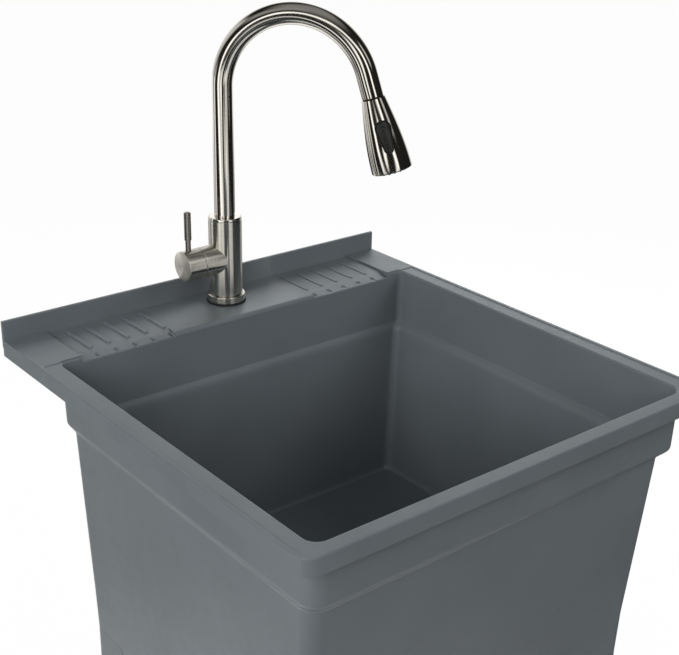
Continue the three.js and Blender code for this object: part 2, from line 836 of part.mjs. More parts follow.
function buildTailpiece(parent) {
  const washerTop = outletLow - seat;
  const flangeTop = washerTop - tailWasher - seat;
  const collar = tailRadius + tailFlange;
  const inside = tailRadius - tailWall;
  const washer = sleeve(inside, collar, washerTop - tailWasher, washerTop);
  piece(parent, "tailpiece_washer", whitePlastic(), washer);
  const tailpiece = turned([
    [inside, flangeTop],
    [collar, flangeTop],
    [collar, flangeTop - tailCollar],
    [tailRadius, flangeTop - tailCollar],
    [tailRadius, flangeTop - tailLength],
    [inside, flangeTop - tailLength],
  ]);
  piece(parent, "tailpiece", stainless(), tailpiece);
  const lipTop = flangeTop - tailCollar - seat;
  const bore = outletRadius + seat;
  const outside = bore + slipWall;
  const slipLow = lipTop - slipWall / 2;
  const slip = sleeve(bore, outside, slipLow, outletLow + slipGrip, fineSides);
  const lip = sleeve(tailRadius + seat, bore + overlap, slipLow, lipTop, fineSides);
  const flats = rod(outside, slipLow, outletLow + slipGrip, smallSides);
  piece(parent, "slip_nut", whitePlastic(), common(join(slip, lip), flats));
}

// ---------------------------------------------------------------- tap body and its fixing

// Heights are over the deck, beside the tap.
const padTop = seat + padHeight;
const ringLow = padTop + seat;
const ringTop = ringLow + ringHeight;
const socketTop = ringLow + shankSocket;
const bushingLow = bodyHeight - spigotDown;
const bushingRadius = spigotRadius + running + bushingWall;

function inletPlace(side) {
  const angle = inletAngle * degrees;
  return [side * inletOffset * Math.cos(angle), inletOffset * Math.sin(angle)];
}

// A solid drawn about Z, laid along the hub: its Z runs outwards to the left, its X upwards.
function alongHub(geometry) {
  return geometry.rotateY(-Math.PI / 2).translate(0, 0, hubHeight);
}

function buildTapBody(parent) {
  const body = turned([
    [0, ringLow],
    [bodyFoot, ringLow],
    [bodyFoot, ringTop + seat],
    [bodyRadius, ringTop + seat],
    [bodyRadius, bodyHeight],
    [0, bodyHeight],
  ], fineSides);
  const branch = turned([
    [0, 0],
    [hubRadius, 0],
    [hubRadius, branchEnd - branchChamfer],
    [hubRadius - branchChamfer, branchEnd],
    [0, branchEnd],
  ], fineSides);
  const nutSocket = cartridgeNutRadius + seat;
  const cartridgeWay = turned([
    [0, cartridgeStart - seat],
    [cartridgeRadius + seat, cartridgeStart - seat],
    [cartridgeRadius + seat, cartridgeEnd],
    [nutSocket, cartridgeEnd],
    [nutSocket, branchEnd + through],
    [0, branchEnd + through],
  ]);
  const hoseWay = rod(hoseBore, 0, bodyHeight + through, smallSides);
  const spoutWay = rod(bushingRadius + seat, bushingLow - seat, bodyHeight + through);
  const shankWay = rod(shankRadius + seat, 0, socketTop);
  const inletWays = [-1, 1].map((side) => {
    const way = rod(inletRadius + seat, 0, socketTop + inletSocket + seat, smallSides);
    return way.translate(...inletPlace(side), 0);
  });
  const solid = join(body, alongHub(branch));
  const made = cut(solid, alongHub(cartridgeWay), hoseWay, spoutWay, shankWay, ...inletWays);
  piece(parent, "tap_body", brushedNickel(), made);

  const baseRing = turned([
    [bodyFoot + seat, ringLow],
    [ringRadius, ringLow],
    [ringRadius, ringTop - ringChamfer],
    [ringRadius - ringChamfer, ringTop],
    [bodyFoot + seat, ringTop],
  ], fineSides);
  piece(parent, "base_ring", brushedNickel(), baseRing);
  piece(parent, "base_gasket", blackRubber(), sleeve(shankRadius + seat, padRadius, seat, padTop));
}

function buildFixing(parent) {
  const deckThick = deckPlate - deckRecess;
  const grip = shankRadius + seat;
  const shankTop = socketTop - seat;
  const shank = sleeve(shankRadius - shankWall, shankRadius, -shankLength, shankTop);
  piece(parent, "tap_shank", yellowBrass(), shank);
  const rubberTop = -deckThick - seat;
  const washerTop = rubberTop - rubberThick - seat;
  const nutTop = washerTop - washerThick - seat;
  const rubber = sleeve(grip, nutRadius, rubberTop - rubberThick, rubberTop);
  piece(parent, "mounting_rubber", blackRubber(), rubber);
  const washer = sleeve(grip, nutRadius, washerTop - washerThick, washerTop);
  piece(parent, "mounting_washer", stainless(), washer);
  const hexagon = rod(nutRadius, nutTop - nutHeight, nutTop, 6);
  const nutBore = rod(grip, nutTop - nutHeight - through, nutTop + through);
  piece(parent, "mounting_nut", yellowBrass(), cut(hexagon, nutBore));
  for (const [name, side] of [["hot_inlet", -1], ["cold_inlet", 1]]) {
    const stub = sleeve(inletBore, inletRadius, -inletLength, socketTop + inletSocket, smallSides);
    piece(parent, name, yellowBrass(), stub.translate(...inletPlace(side), 0));
  }
  const connectorTop = -shankLength - seat;
  const connectorLow = connectorTop - connectorLength;
  const connector = sleeve(hoseRadius + seat, connectorRadius, connectorLow, connectorTop);
  piece(parent, "hose_connector", yellowBrass(), connector);
}

// ---------------------------------------------------------------- spout

const tubeLow = bodyHeight + seat;

// The centreline of the gooseneck's arch, in the YZ plane.
class ArchCurve extends THREE.Curve {
  getPoint(share) {
    const angle = share * archSweep * degrees;
    const y = archRadius * (Math.cos(angle) - 1);
    return new THREE.Vector3(0, y, archHeight + archRadius * Math.sin(angle));
  }
}

const archEnd = new ArchCurve().getPoint(1);

// The way out of the spout, which is also the spray head's axis.
const headAxis = new THREE.Vector3(0, -Math.sin(archSweep * degrees), Math.cos(archSweep * degrees));

// The centreline from a height up, over the arch and straight out for a length.
function spoutPath(from, straight) {
  const path = new THREE.CurvePath();
  path.add(new THREE.LineCurve3(new THREE.Vector3(0, 0, from), new THREE.Vector3(0, 0, archHeight)));
  path.add(new ArchCurve());
  path.add(new THREE.LineCurve3(archEnd, archEnd.clone().addScaledVector(headAxis, straight)));
  return path;
}

function buildSpout(parent) {
  const inside = spoutRadius - spoutWall;
  const tube = drawn(spoutPath(tubeLow, spoutStraight), spoutRadius, inside, archSteps, plainSides);
  piece(parent, "spout_tube", brushedNickel(), tube);
  const collar = turned([
    [spoutRadius + seat, tubeLow],
    [collarRadius, tubeLow],
    [collarRadius, tubeLow + collarHeight - ringChamfer],
    [collarRadius - ringChamfer, tubeLow + collarHeight],
    [spoutRadius + seat, tubeLow + collarHeight],
  ]);
  piece(parent, "spout_collar", brushedNickel(), collar);

  const spigotLow = bushingLow + running;
  const grooveHeight = 2 * ringSection + 2 * seat;
  const groove = spigotRadius - grooveDepth;
  let spigot = turned([
    [spigotBore, spigotLow],
    [spigotRadius, spigotLow],
    [spigotRadius, tubeLow - seat],
    [inside - seat, tubeLow - seat],
    [inside - seat, tubeLow + spigotUp],
    [spigotBore, tubeLow + spigotUp],
  ]);
  for (const [name, share] of Object.entries(ringPlaces)) {
    const low = spigotLow + share * spigotDown;
    spigot = cut(spigot, sleeve(groove, spigotRadius + through, low, low + grooveHeight));
    const middle = groove + seat + ringSection;
    const height = low + grooveHeight / 2;
    const section = [
      [middle + ringSection, height],
      [middle, height + ringSection],
      [middle - ringSection, height],
      [middle, height - ringSection],
    ];
    piece(parent, name, blackRubber(), turned(section));
  }
  piece(parent, "spout_spigot", yellowBrass(), spigot);

  const end = group(parent, 0, 0, 0);
  end.position.copy(archEnd).addScaledVector(headAxis, spoutStraight);
  end.rotation.x = (archSweep - 180) * degrees;
  const guide = turned([
    [guideBore, guideLength],
    [inside - seat, guideLength],
    [inside - seat, -seat],
    [spoutRadius - seat, -seat],
    [spoutRadius - seat, -seat - guideLip],
    [guideBore, -seat - guideLip],
  ]);
  piece(end, "spout_guide", blackPlastic(), guide);

  const headGap = guideLip + 2 * seat;
  const hoseLow = -shankLength - connectorLength;
  const hosePath = spoutPath(hoseLow, spoutStraight + headGap + hoseNutTop - seat);
  piece(parent, "pullout_hose", greyBraid(), drawn(hosePath, hoseRadius, 0, archSteps, smallSides));
  return group(end, 0, 0, -headGap);
}

function buildBushing(parent) {
  const bore = spigotRadius + running;
  const bushing = sleeve(bore, bushingRadius, bushingLow, bodyHeight - running);
  piece(parent, "spout_bushing", whitePlastic(), bushing);
}

// ---------------------------------------------------------------- spray head

// The head's outer radius swells as a quarter sine from its top to its mouth.
function headRadius(depth) {
  return headTop + (headMouth - headTop) * Math.sin(((depth / headLength) * Math.PI) / 2);
}

// The head as a solid, its skin moved outwards by an offset.
function headSolid(offset, from, to) {
  const profile = [[0, -from]];
  for (let i = 0; i <= headRings; i++) {
    const depth = from + ((to - from) * i) / headRings;
    profile.push([headRadius(depth) + offset, -depth]);
  }
  profile.push([0, -to]);
  return turned(profile, fineSides);
}

// The outline of the button, a large round above a small one, grown by a margin.
function teardrop(margin) {
  const between = buttonLength - buttonWide - buttonNarrow;
  const upper = buttonLength / 2 - buttonWide - buttonMiddle;
  const lean = Math.asin((buttonWide - buttonNarrow) / between);
  const shape = new THREE.Shape();
  shape.absarc(0, upper, buttonWide + margin, -lean, Math.PI + lean);
  shape.absarc(0, upper - between, buttonNarrow + margin, Math.PI + lean, 2 * Math.PI - lean);
  return shape;
}

// The teardrop from a distance in front of the head's axis outwards.
function teardropBar(margin, from) {
  return alongY(teardrop(margin), -2 * headMouth, -from, 6);
}

function buildHead(parent) {
  const turn = headTurn * degrees;
  const lowest = headLength - headRound;
  const mouthFloor = lowest - faceThick;
  const lowestRadius = headRadius(lowest);
  const edge = turned([
    [0, overlap - lowest],
    [lowestRadius - headRound / 2, overlap - lowest],
    [lowestRadius, -lowest],
    [lowestRadius - headRound, -headLength],
    [0, -headLength],
  ], fineSides);
  const skin = join(headSolid(0, 0, lowest), edge);
  const hollow = headSolid(-headWall, -through, headLength + through);
  const buttonHole = teardropBar(bezelWidth + seat, bezelFloor - seat).rotateZ(turn);
  piece(parent, "head_shell", brushedNickel(), cut(skin, hollow, buttonHole));

  const cupBottom = bezelFloor + cupFloor;
  const bezelBlock = common(teardropBar(bezelWidth, bezelFloor), headSolid(bezelProud, 0, lowest));
  const cup = cut(bezelBlock, teardropBar(buttonGap, cupBottom));
  const ridge = rod(buttonTravel - seat, -buttonNarrow, buttonNarrow, smallSides);
  ridge.rotateY(Math.PI / 2).translate(0, -cupBottom, -buttonMiddle);
  const rocker = common(ridge, teardropBar(0, cupBottom - overlap));
  piece(parent, "button_bezel", blackPlastic(), join(cup, rocker).rotateZ(turn));
  const button = common(teardropBar(0, cupBottom + buttonTravel), headSolid(buttonProud, 0, lowest));
  piece(parent, "spray_button", blackPlastic(), button.rotateZ(turn));

  const nutBottom = hoseNutTop + hoseNutLength;
  const cupTop = hoseNutTop + 2;
  const flangeTop = mouthFloor - coreFlange;
  const inner = (depth) => headRadius(depth) - headWall - seat;
  const core = turned([
    [0, -nutBottom - running],
    [hoseNutRadius + running, -nutBottom - running],
    [hoseNutRadius + running, -cupTop],
    [coreRadius, -cupTop],
    [coreRadius, -flangeTop],
    [inner(flangeTop), -flangeTop],
    [inner(flangeTop), -mouthFloor],
    [0, -mouthFloor],
  ]);
  piece(parent, "spray_core", whitePlastic(), core);

  const faceTop = mouthFloor + seat;
  const faceLow = headLength + seat;
  const disc = rod(inner(faceTop), -faceLow, -faceTop, fineSides);
  const nozzles = [];
  for (const [radius, count] of [[nozzleRing, nozzleCount], [nozzleRing / 2, nozzleCount / 2]]) {
    for (let i = 0; i < count; i++) {
      const nozzle = rod(nozzleRadius, -faceLow - nozzleLength, overlap - faceLow, nozzleSides);
      nozzles.push(nozzle.translate(radius, 0, 0).rotateZ((i * 360 * degrees) / count));
    }
  }
  piece(parent, "spray_face", blackPlastic(), join(disc, ...nozzles));
  piece(parent, "hose_nut", yellowBrass(), rod(hoseNutRadius, -nutBottom, -hoseNutTop, smallSides));
}

// ---------------------------------------------------------------- handle

const capEdge = branchEnd + capGap;
const pivotOut = capEdge - pivotInside;
const carrierRadius = cartridgeRadius - cartridgeWall - running;

function buildCartridge(parent) {
  const inside = cartridgeRadius - cartridgeWall;
  const cupTop = cartridgeStart + cartridgeFloor;
  const body = turned([
    [0, cartridgeStart],
    [cartridgeRadius, cartridgeStart],
    [cartridgeRadius, cartridgeEnd],
    [inside, cartridgeEnd],
    [inside, cupTop],
    [0, cupTop],
  ]);
  piece(parent, "cartridge_body", whitePlastic(), alongHub(body));
  const nutLow = cartridgeEnd + seat;
  const nut = sleeve(inside, cartridgeNutRadius, nutLow, nutLow + cartridgeNutLength);
  piece(parent, "cartridge_nut", yellowBrass(), alongHub(nut));
  const ringInside = carrierRadius - carrierWall;
  const carrier = sleeve(ringInside, carrierRadius, cupTop + seat, cartridgeEnd - running);
  piece(parent, "cartridge_carrier", whitePlastic(), alongHub(carrier));
  const half = ringInside - seat;
  const pin = rod(pinRadius, -half, half, smallSides).rotateX(Math.PI / 2).translate(0, 0, pivotOut);
  piece(parent, "carrier_pin", stainless(), alongHub(pin));
}

function buildHandle(parent) {
  const cavityEnd = capEdge + capCavity;
  const socketEnd = cavityEnd + stemSocket;
  const cap = turned([
    [0, socketEnd],
    [stemRadius + seat, socketEnd],
    [stemRadius + seat, cavityEnd],
    [hubRadius - capWall, cavityEnd],
    [hubRadius - capWall, capEdge],
    [hubRadius, capEdge],
    [hubRadius, capFace - capChamfer],
    [hubRadius - capChamfer, capFace],
    [0, capFace],
  ], fineSides);
  const upwards = (geometry) => geometry.rotateY(Math.PI / 2).translate(0, 0, leverOut);
  const neckLow = hubRadius - neckSocket;
  const neckHole = upwards(rod(neckRadius + seat, neckLow - seat, hubRadius + through));
  const grubEnd = -stemRadius - seat;
  const grubHole = upwards(rod(grubRadius + seat, -hubRadius - through, 0, smallSides));
  piece(parent, "handle_cap", brushedNickel(), alongHub(cut(cap, neckHole, grubHole)));

  const neckTop = hubRadius + neckLength;
  const tip = neckTop + gripLength;
  const lever = turned([
    [0, neckLow],
    [neckRadius, neckLow],
    [neckRadius, neckTop],
    [gripRadius, neckTop + gripShoulder],
    [gripRadius, tip - gripRound],
    [gripRadius - gripRound, tip],
    [0, tip],
  ]);
  piece(parent, "handle_lever", brushedNickel(), alongHub(upwards(lever)));
  const grub = rod(grubRadius, grubEnd - grubLength, grubEnd, smallSides);
  piece(parent, "cap_screw", stainless(), alongHub(upwards(grub)));

  const stem = rod(stemRadius, pivotOut - stemPast, socketEnd - seat, smallSides);
  const pinHole = rod(pinRadius + seat, -stemRadius - through, stemRadius + through, smallSides);
  pinHole.rotateX(Math.PI / 2).translate(0, 0, pivotOut);
  piece(parent, "handle_stem", stainless(), alongHub(cut(stem, pinHole)));
}

// ---------------------------------------------------------------- assembly

const sink = new THREE.Group();
const atRim = group(sink, 0, 0, rimHeight);
buildTub(atRim);
const cornerNames = ["front_left", "front_right", "rear_right", "rear_left"];
cornerSigns.forEach(([sx, sy], i) => buildLeg(atRim, cornerNames[i], sx, sy));

const atDrain = group(atRim, 0, drainY, -drainDepth);
buildStrainer(atDrain);
buildBasket(atDrain);
buildTailpiece(atDrain);

const atTap = group(atRim, tapAside, halfDepth - tapFromRear, -deckRecess);
buildTapBody(atTap);
buildFixing(atTap);
buildBushing(atTap);
buildCartridge(atTap);
buildHandle(atTap);

const turnedSpout = group(atTap, 0, 0, 0);
turnedSpout.rotation.z = spoutHeading * degrees;
buildHead(buildSpout(turnedSpout));

export default sink;
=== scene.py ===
import math

import bmesh
import bpy
import numpy as np
from mathutils import Matrix, Vector


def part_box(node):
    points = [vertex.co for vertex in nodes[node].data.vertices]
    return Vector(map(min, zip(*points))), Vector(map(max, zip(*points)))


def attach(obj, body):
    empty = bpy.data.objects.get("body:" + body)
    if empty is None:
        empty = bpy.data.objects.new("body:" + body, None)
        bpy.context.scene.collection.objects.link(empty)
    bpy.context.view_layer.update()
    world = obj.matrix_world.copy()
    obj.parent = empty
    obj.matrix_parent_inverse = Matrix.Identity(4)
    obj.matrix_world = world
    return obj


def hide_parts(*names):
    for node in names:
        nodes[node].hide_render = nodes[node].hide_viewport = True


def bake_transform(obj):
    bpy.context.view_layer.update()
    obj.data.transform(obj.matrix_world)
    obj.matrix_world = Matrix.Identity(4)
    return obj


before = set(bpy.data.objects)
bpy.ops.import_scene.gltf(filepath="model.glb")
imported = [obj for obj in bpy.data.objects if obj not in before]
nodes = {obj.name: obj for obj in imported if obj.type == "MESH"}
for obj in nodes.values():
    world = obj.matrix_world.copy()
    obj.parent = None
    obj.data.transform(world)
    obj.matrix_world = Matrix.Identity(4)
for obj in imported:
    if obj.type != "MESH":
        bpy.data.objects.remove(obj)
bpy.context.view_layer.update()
mm = 0.001
seat = 0.3  # gap between pieces that rest on each other, as in the frame
over = 4  # how far a cutting shape reaches past the piece that it cuts
print("frame loaded:", len(nodes), "nodes")


# places, read from the frame, in millimetres
def boxOf(node):
    low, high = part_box(node)
    return np.array(low) / mm, np.array(high) / mm


splashHeight = 27
tubLow, tubHigh = boxOf("tub")
halfWidth = (tubHigh[0] - tubLow[0]) / 2
halfDepth = (tubHigh[1] - tubLow[1]) / 2
rimHeight = tubHigh[2] - splashHeight
gasketBox, strainerBox = boxOf("base_gasket"), boxOf("strainer_body")
tapSpot, drainSpot = sum(gasketBox) / 2, sum(strainerBox) / 2
deckHeight = gasketBox[0][2] - seat
drainTop = strainerBox[1][2]


def shift(x, y, z):
    return Matrix.Translation(Vector((x, y, z)) * mm)


def turn(degrees, axis):
    return Matrix.Rotation(math.radians(degrees), 4, axis)


atTap = shift(tapSpot[0], tapSpot[1], deckHeight)
atDrain = shift(drainSpot[0], drainSpot[1], drainTop)


# camera, at the photograph's place
cameraPlace = {
    "x": -0.8944, "y": -1.0840, "z": 1.5021, "yaw": 39.185, "pitch": -22.884, "roll": 1.0589, "lens": 66.44,
    "sensor": 36, "near": 0.05, "far": 60,
}


def placed(name, data):
    made = bpy.data.objects.new(name, data)
    bpy.context.scene.collection.objects.link(made)
    return made


def makeCamera(place):
    yaw, pitch, roll = (math.radians(place[k]) for k in ("yaw", "pitch", "roll"))
    ahead = Vector((math.sin(yaw) * math.cos(pitch), math.cos(yaw) * math.cos(pitch), math.sin(pitch)))
    right = ahead.cross(Vector((0, 0, 1))).normalized()
    up = right.cross(ahead)
    rightTurned = math.cos(roll) * right + math.sin(roll) * up
    upTurned = math.cos(roll) * up - math.sin(roll) * right
    facing = Matrix((rightTurned, upTurned, -ahead)).transposed().to_4x4()
    camera = placed("camera", bpy.data.cameras.new("camera"))
    camera.data.sensor_width = place["sensor"]
    camera.data.lens = place["lens"]
    camera.data.clip_start = place["near"]
    camera.data.clip_end = place["far"]
    camera.matrix_world = Matrix.Translation((place["x"], place["y"], place["z"])) @ facing
    bpy.context.scene.camera = camera


makeCamera(cameraPlace)


# surfaces worked out with numpy
# Each corner of a row of points becomes a quadratic arc that starts and ends a reach away from it.
def soften(rows, reach, steps=4, closed=False):
    rows = np.asarray(rows, float)
    middle = rows if closed else rows[1:-1]
    before = (np.roll(rows, 1, 0) if closed else rows[:-2]) - middle
    after = (np.roll(rows, -1, 0) if closed else rows[2:]) - middle
    reach = np.broadcast_to(np.asarray(reach, float), len(middle))[:, None]

    def near(way):
        length = np.maximum(np.linalg.norm(way, axis=1, keepdims=True), 1e-9)
        return middle + way / length * np.minimum(reach, 0.45 * length)

    start, end = near(before)[:, None], near(after)[:, None]
    q = np.linspace(0, 1, steps + 1)[None, :, None]
    arcs = (1 - q) ** 2 * start + 2 * q * (1 - q) * middle[:, None] + q**2 * end
    arcs = arcs.reshape(-1, rows.shape[1])
    return arcs if closed else np.vstack([rows[:1], arcs, rows[-1:]])


# Rows of x0, x1, y0, y1, z and four corner radii become rings round rectangles with round corners.
def rectangleRings(rows, cornerSteps=8):
    rows = np.asarray(rows, float)
    signX, signY = np.array([1, -1, -1, 1]), np.array([1, 1, -1, -1])
    radius = rows[:, 5:9]
    centreX = np.where(signX > 0, rows[:, 1:2], rows[:, 0:1]) - signX * radius
    centreY = np.where(signY > 0, rows[:, 3:4], rows[:, 2:3]) - signY * radius
    angle = (np.arange(4)[:, None] + np.linspace(0, 1, cornerSteps + 1)) * math.pi / 2
    x = centreX[:, :, None] + radius[:, :, None] * np.cos(angle)
    y = centreY[:, :, None] + radius[:, :, None] * np.sin(angle)
    z = np.broadcast_to(rows[:, 4][:, None, None], x.shape)
    return np.stack([x, y, z], -1).reshape(len(rows), -1, 3)


# Rows of radius and height become rings round Z.
def turnedRings(profile, sides=64):
    profile = np.asarray(profile, float)
    angle = np.linspace(0, 2 * math.pi, sides, endpoint=False)
    x = profile[:, :1] * np.cos(angle)
    y = profile[:, :1] * np.sin(angle)
    z = np.broadcast_to(profile[:, 1:], x.shape)
    return np.stack([x, y, z], -1)


# A flat outline, given as two columns, is repeated at places along the third axis.
def prismRings(shape, places, along):
    shape = np.asarray(shape, float)
    rings = np.zeros((len(places), len(shape), 3))
    across = [i for i in range(3) if i != along]
    rings[:, :, across] = shape
    rings[:, :, along] = np.asarray(places, float)[:, None]
    return rings


# The quads between rings of points, with the row and the column of each.
def quadsBetween(rings, loop=False):
    count, around = rings.shape[:2]
    row = np.arange(count if loop else count - 1)[:, None]
    col = np.arange(around)[None, :]
    here, after = row * around, (row + 1) % count * around
    nextCol = (col + 1) % around
    return np.stack([here + col, after + col, after + nextCol, here + nextCol], -1), row, col


wrapLength = 100  # of the texture along a piece, in millimetres


# Rings of points become a mesh: quads between the rings, and flat ends or a closed loop.
def solid(name, rings, loop=False, place=None):
    count, around = rings.shape[:2]
    quads, row, col = quadsBetween(rings, loop)
    faces = quads.reshape(-1, 4).tolist()
    if not loop:
        faces += [list(range(around)), list(range(count * around - 1, (count - 1) * around - 1, -1))]
    mesh = bpy.data.meshes.new(name)
    mesh.from_pydata((rings.reshape(-1, 3) * mm).tolist(), [], faces)
    wrap = mesh.uv_layers.new(name="wrap")
    run = np.linalg.norm(np.diff(rings[:, 0], axis=0, append=rings[:1, 0]), axis=1)
    run = np.concatenate([[0], np.cumsum(run)]) / wrapLength
    across = np.stack([col, col, col + 1, col + 1], -1) / around + 0 * quads
    along = np.stack([run[row], run[row + 1], run[row + 1], run[row]], -1) + 0 * quads
    corners = np.stack([across, along], -1).reshape(-1, 2)
    spare = np.zeros((len(mesh.loops) - len(corners), 2))
    wrap.data.foreach_set("uv", np.vstack([corners, spare]).ravel())
    cleaned(mesh)
    if place is not None:
        mesh.transform(place)
    return placed(name, mesh)


def cleaned(mesh, distance=2e-6):
    work = bmesh.new()
    work.from_mesh(mesh)
    bmesh.ops.remove_doubles(work, verts=work.verts, dist=distance)
    bmesh.ops.dissolve_degenerate(work, dist=distance / 2, edges=work.edges)
    bmesh.ops.recalc_face_normals(work, faces=work.faces)
    work.to_mesh(mesh)
    work.free()


def turned(name, profile, reach=0.0, sides=64, loop=False, place=None):
    rows = soften(profile, reach, closed=loop) if np.any(reach) else np.asarray(profile, float)
    return solid(name, turnedRings(rows, sides), loop, place)


def rod(name, radius, low, high, sides=48, place=None):
    return turned(name, [[0, high], [radius, high], [radius, low], [0, low]], sides=sides, place=place)


def settle(piece):
    bpy.context.view_layer.update()
    graph = bpy.context.evaluated_depsgraph_get()
    made = bpy.data.meshes.new_from_object(piece.evaluated_get(graph))
    old = piece.data
    piece.modifiers.clear()
    piece.data = made
    bpy.data.meshes.remove(old)
    made.name = piece.name


def carve(piece, tools, how="DIFFERENCE"):
    for tool in tools:
        change = piece.modifiers.new("carve", "BOOLEAN")
        change.operation = how
        change.solver = "EXACT"
        change.object = tool
        settle(piece)
        bpy.data.objects.remove(tool)
    return piece


sharpAngle = math.radians(32)


def smooth(piece, material):
    piece.data.materials.clear()
    piece.data.materials.append(material)
    piece.data.shade_smooth()
    piece.data.set_sharp_from_angle(angle=sharpAngle)


# Smooth shading with sharp edges kept; a bevel softens those edges.
def dress(piece, body, material, replaced, bevel=0.0, segments=2):
    cleaned(piece.data)
    smooth(piece, material)
    if bevel:
        edge = piece.modifiers.new("edge", "BEVEL")
        edge.width = bevel * mm
        edge.segments = segments
        edge.limit_method = "ANGLE"
        edge.angle_limit = sharpAngle
        edge.harden_normals = True
    weighted = piece.modifiers.new("weighted", "WEIGHTED_NORMAL")
    weighted.keep_sharp = True
    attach(piece, body)
    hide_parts(*replaced)


# materials
def newMaterial(name):
    material = bpy.data.materials.new(name)
    material.use_nodes = True
    tree = material.node_tree
    return material, tree, tree.nodes["Principled BSDF"]


# Inputs, by name or place, take the sockets and values given for them.
def feed(tree, node, values):
    for key, value in values.items():
        if isinstance(value, bpy.types.NodeSocket):
            tree.links.new(value, node.inputs[key])
        else:
            node.inputs[key].default_value = value


def addNode(tree, kind, values=None, **settings):
    node = tree.nodes.new(kind)
    for key, value in settings.items():
        setattr(node, key, value)
    feed(tree, node, values or {})
    return node


def shade(r, g, b):
    # a screen colour from 0 to 255 as linear light
    screen = np.array([r, g, b]) / 255
    linear = np.where(screen <= 0.04045, screen / 12.92, ((screen + 0.055) / 1.055) ** 2.4)
    return (*linear.tolist(), 1.0)


def blendColours(tree, factor, first, second):
    ramp = tree.nodes.new("ShaderNodeValToRGB")
    for end, place, colour in zip(ramp.color_ramp.elements, (0.3, 0.7), (first, second)):
        end.position, end.color = place, shade(*colour)
    tree.links.new(factor, ramp.inputs["Fac"])
    return ramp.outputs["Color"]


def noiseOn(tree, scale, detail):
    where = addNode(tree, "ShaderNodeTexCoord").outputs["Object"]
    noise = addNode(tree, "ShaderNodeTexNoise", {"Vector": where, "Scale": scale, "Detail": detail})
    return noise.outputs["Fac"]


def bumpFrom(tree, height, strength, distance):
    bump = addNode(tree, "ShaderNodeBump", {"Height": height, "Strength": strength, "Distance": distance})
    return bump.outputs["Normal"]


def spread(tree, factor, low, high):
    ends = {"Value": factor, "From Min": 0.25, "From Max": 0.75, "To Min": low, "To Max": high}
    return addNode(tree, "ShaderNodeMapRange", ends).outputs["Result"]


# Moulded plastic: cloudy colour, a fine grain and uneven gloss.
def mouldedPlastic(name, colour, cloud, rough, grain=2600, depth=0.00006, bump=0.22):
    material, tree, shader = newMaterial(name)
    feed(tree, shader, {
        "Base Color": blendColours(tree, noiseOn(tree, 9, 4), colour, cloud),
        "Roughness": spread(tree, noiseOn(tree, 60, 3), rough - 0.04, rough + 0.05),
        "Normal": bumpFrom(tree, noiseOn(tree, grain, 2), bump, depth),
    })
    return material


# Brushed metal: fine lines run round the piece, so a light is drawn out along it.
def brushedMetal(name, colour, darker, rough, draw=0.8, lines=(2, 130, 1)):
    material, tree, shader = newMaterial(name)
    wrap = addNode(tree, "ShaderNodeUVMap", uv_map="wrap").outputs[0]
    drawn = addNode(tree, "ShaderNodeMapping", {"Vector": wrap, "Scale": lines}).outputs[0]
    noise = addNode(tree, "ShaderNodeTexNoise", {"Vector": drawn, "Scale": 1.0, "Detail": 3.0})
    scratch = noise.outputs["Fac"]
    tangent = addNode(tree, "ShaderNodeTangent", direction_type="UV_MAP", uv_map="wrap").outputs[0]
    feed(tree, shader, {
        "Metallic": 1.0, "Anisotropic": draw, "Anisotropic Rotation": 0.25, "Tangent": tangent,
        "Base Color": blendColours(tree, scratch, darker, colour),
        "Roughness": spread(tree, scratch, rough - 0.01, rough + 0.015),
    })
    return material


# Plain metal of the hidden pieces: a smear in the gloss and small dents.
def plainMetal(name, colour, darker, rough):
    material, tree, shader = newMaterial(name)
    smear = noiseOn(tree, 35, 3)
    feed(tree, shader, {
        "Metallic": 1.0,
        "Base Color": blendColours(tree, smear, darker, colour),
        "Roughness": spread(tree, smear, rough - 0.05, rough + 0.08),
        "Normal": bumpFrom(tree, noiseOn(tree, 900, 3), 0.08, 0.00002),
    })
    return material


tubPlastic = mouldedPlastic("tubPlastic", (101, 107, 111), (107, 113, 117), 0.42)
blackPlastic = mouldedPlastic("blackPlastic", (19, 19, 19), (26, 26, 26), 0.38, 3000)
whitePlastic = mouldedPlastic("whitePlastic", (228, 226, 220), (236, 234, 228), 0.4, 2000)
blackRubber = mouldedPlastic("blackRubber", (22, 22, 22), (32, 31, 30), 0.75, 1800, bump=0.4)
fibreCard = mouldedPlastic("fibreCard", (190, 168, 126), (206, 186, 148), 0.85, 900, bump=0.6)
nickel = brushedMetal("nickel", (206, 203, 196), (202, 199, 192), 0.09)
nickelTurned = brushedMetal("nickelTurned", (200, 198, 191), (184, 182, 174), 0.22, 0.95)
nickelDark = brushedMetal("nickelDark", (150, 146, 140), (120, 116, 111), 0.26)
steel = plainMetal("steel", (205, 206, 207), (186, 187, 189), 0.24)
brass = plainMetal("brass", (198, 160, 92), (180, 142, 78), 0.3)
hoseBraid = mouldedPlastic("hoseBraid", (38, 39, 41), (66, 67, 70), 0.6, 1500, bump=0.5)
print("materials made")


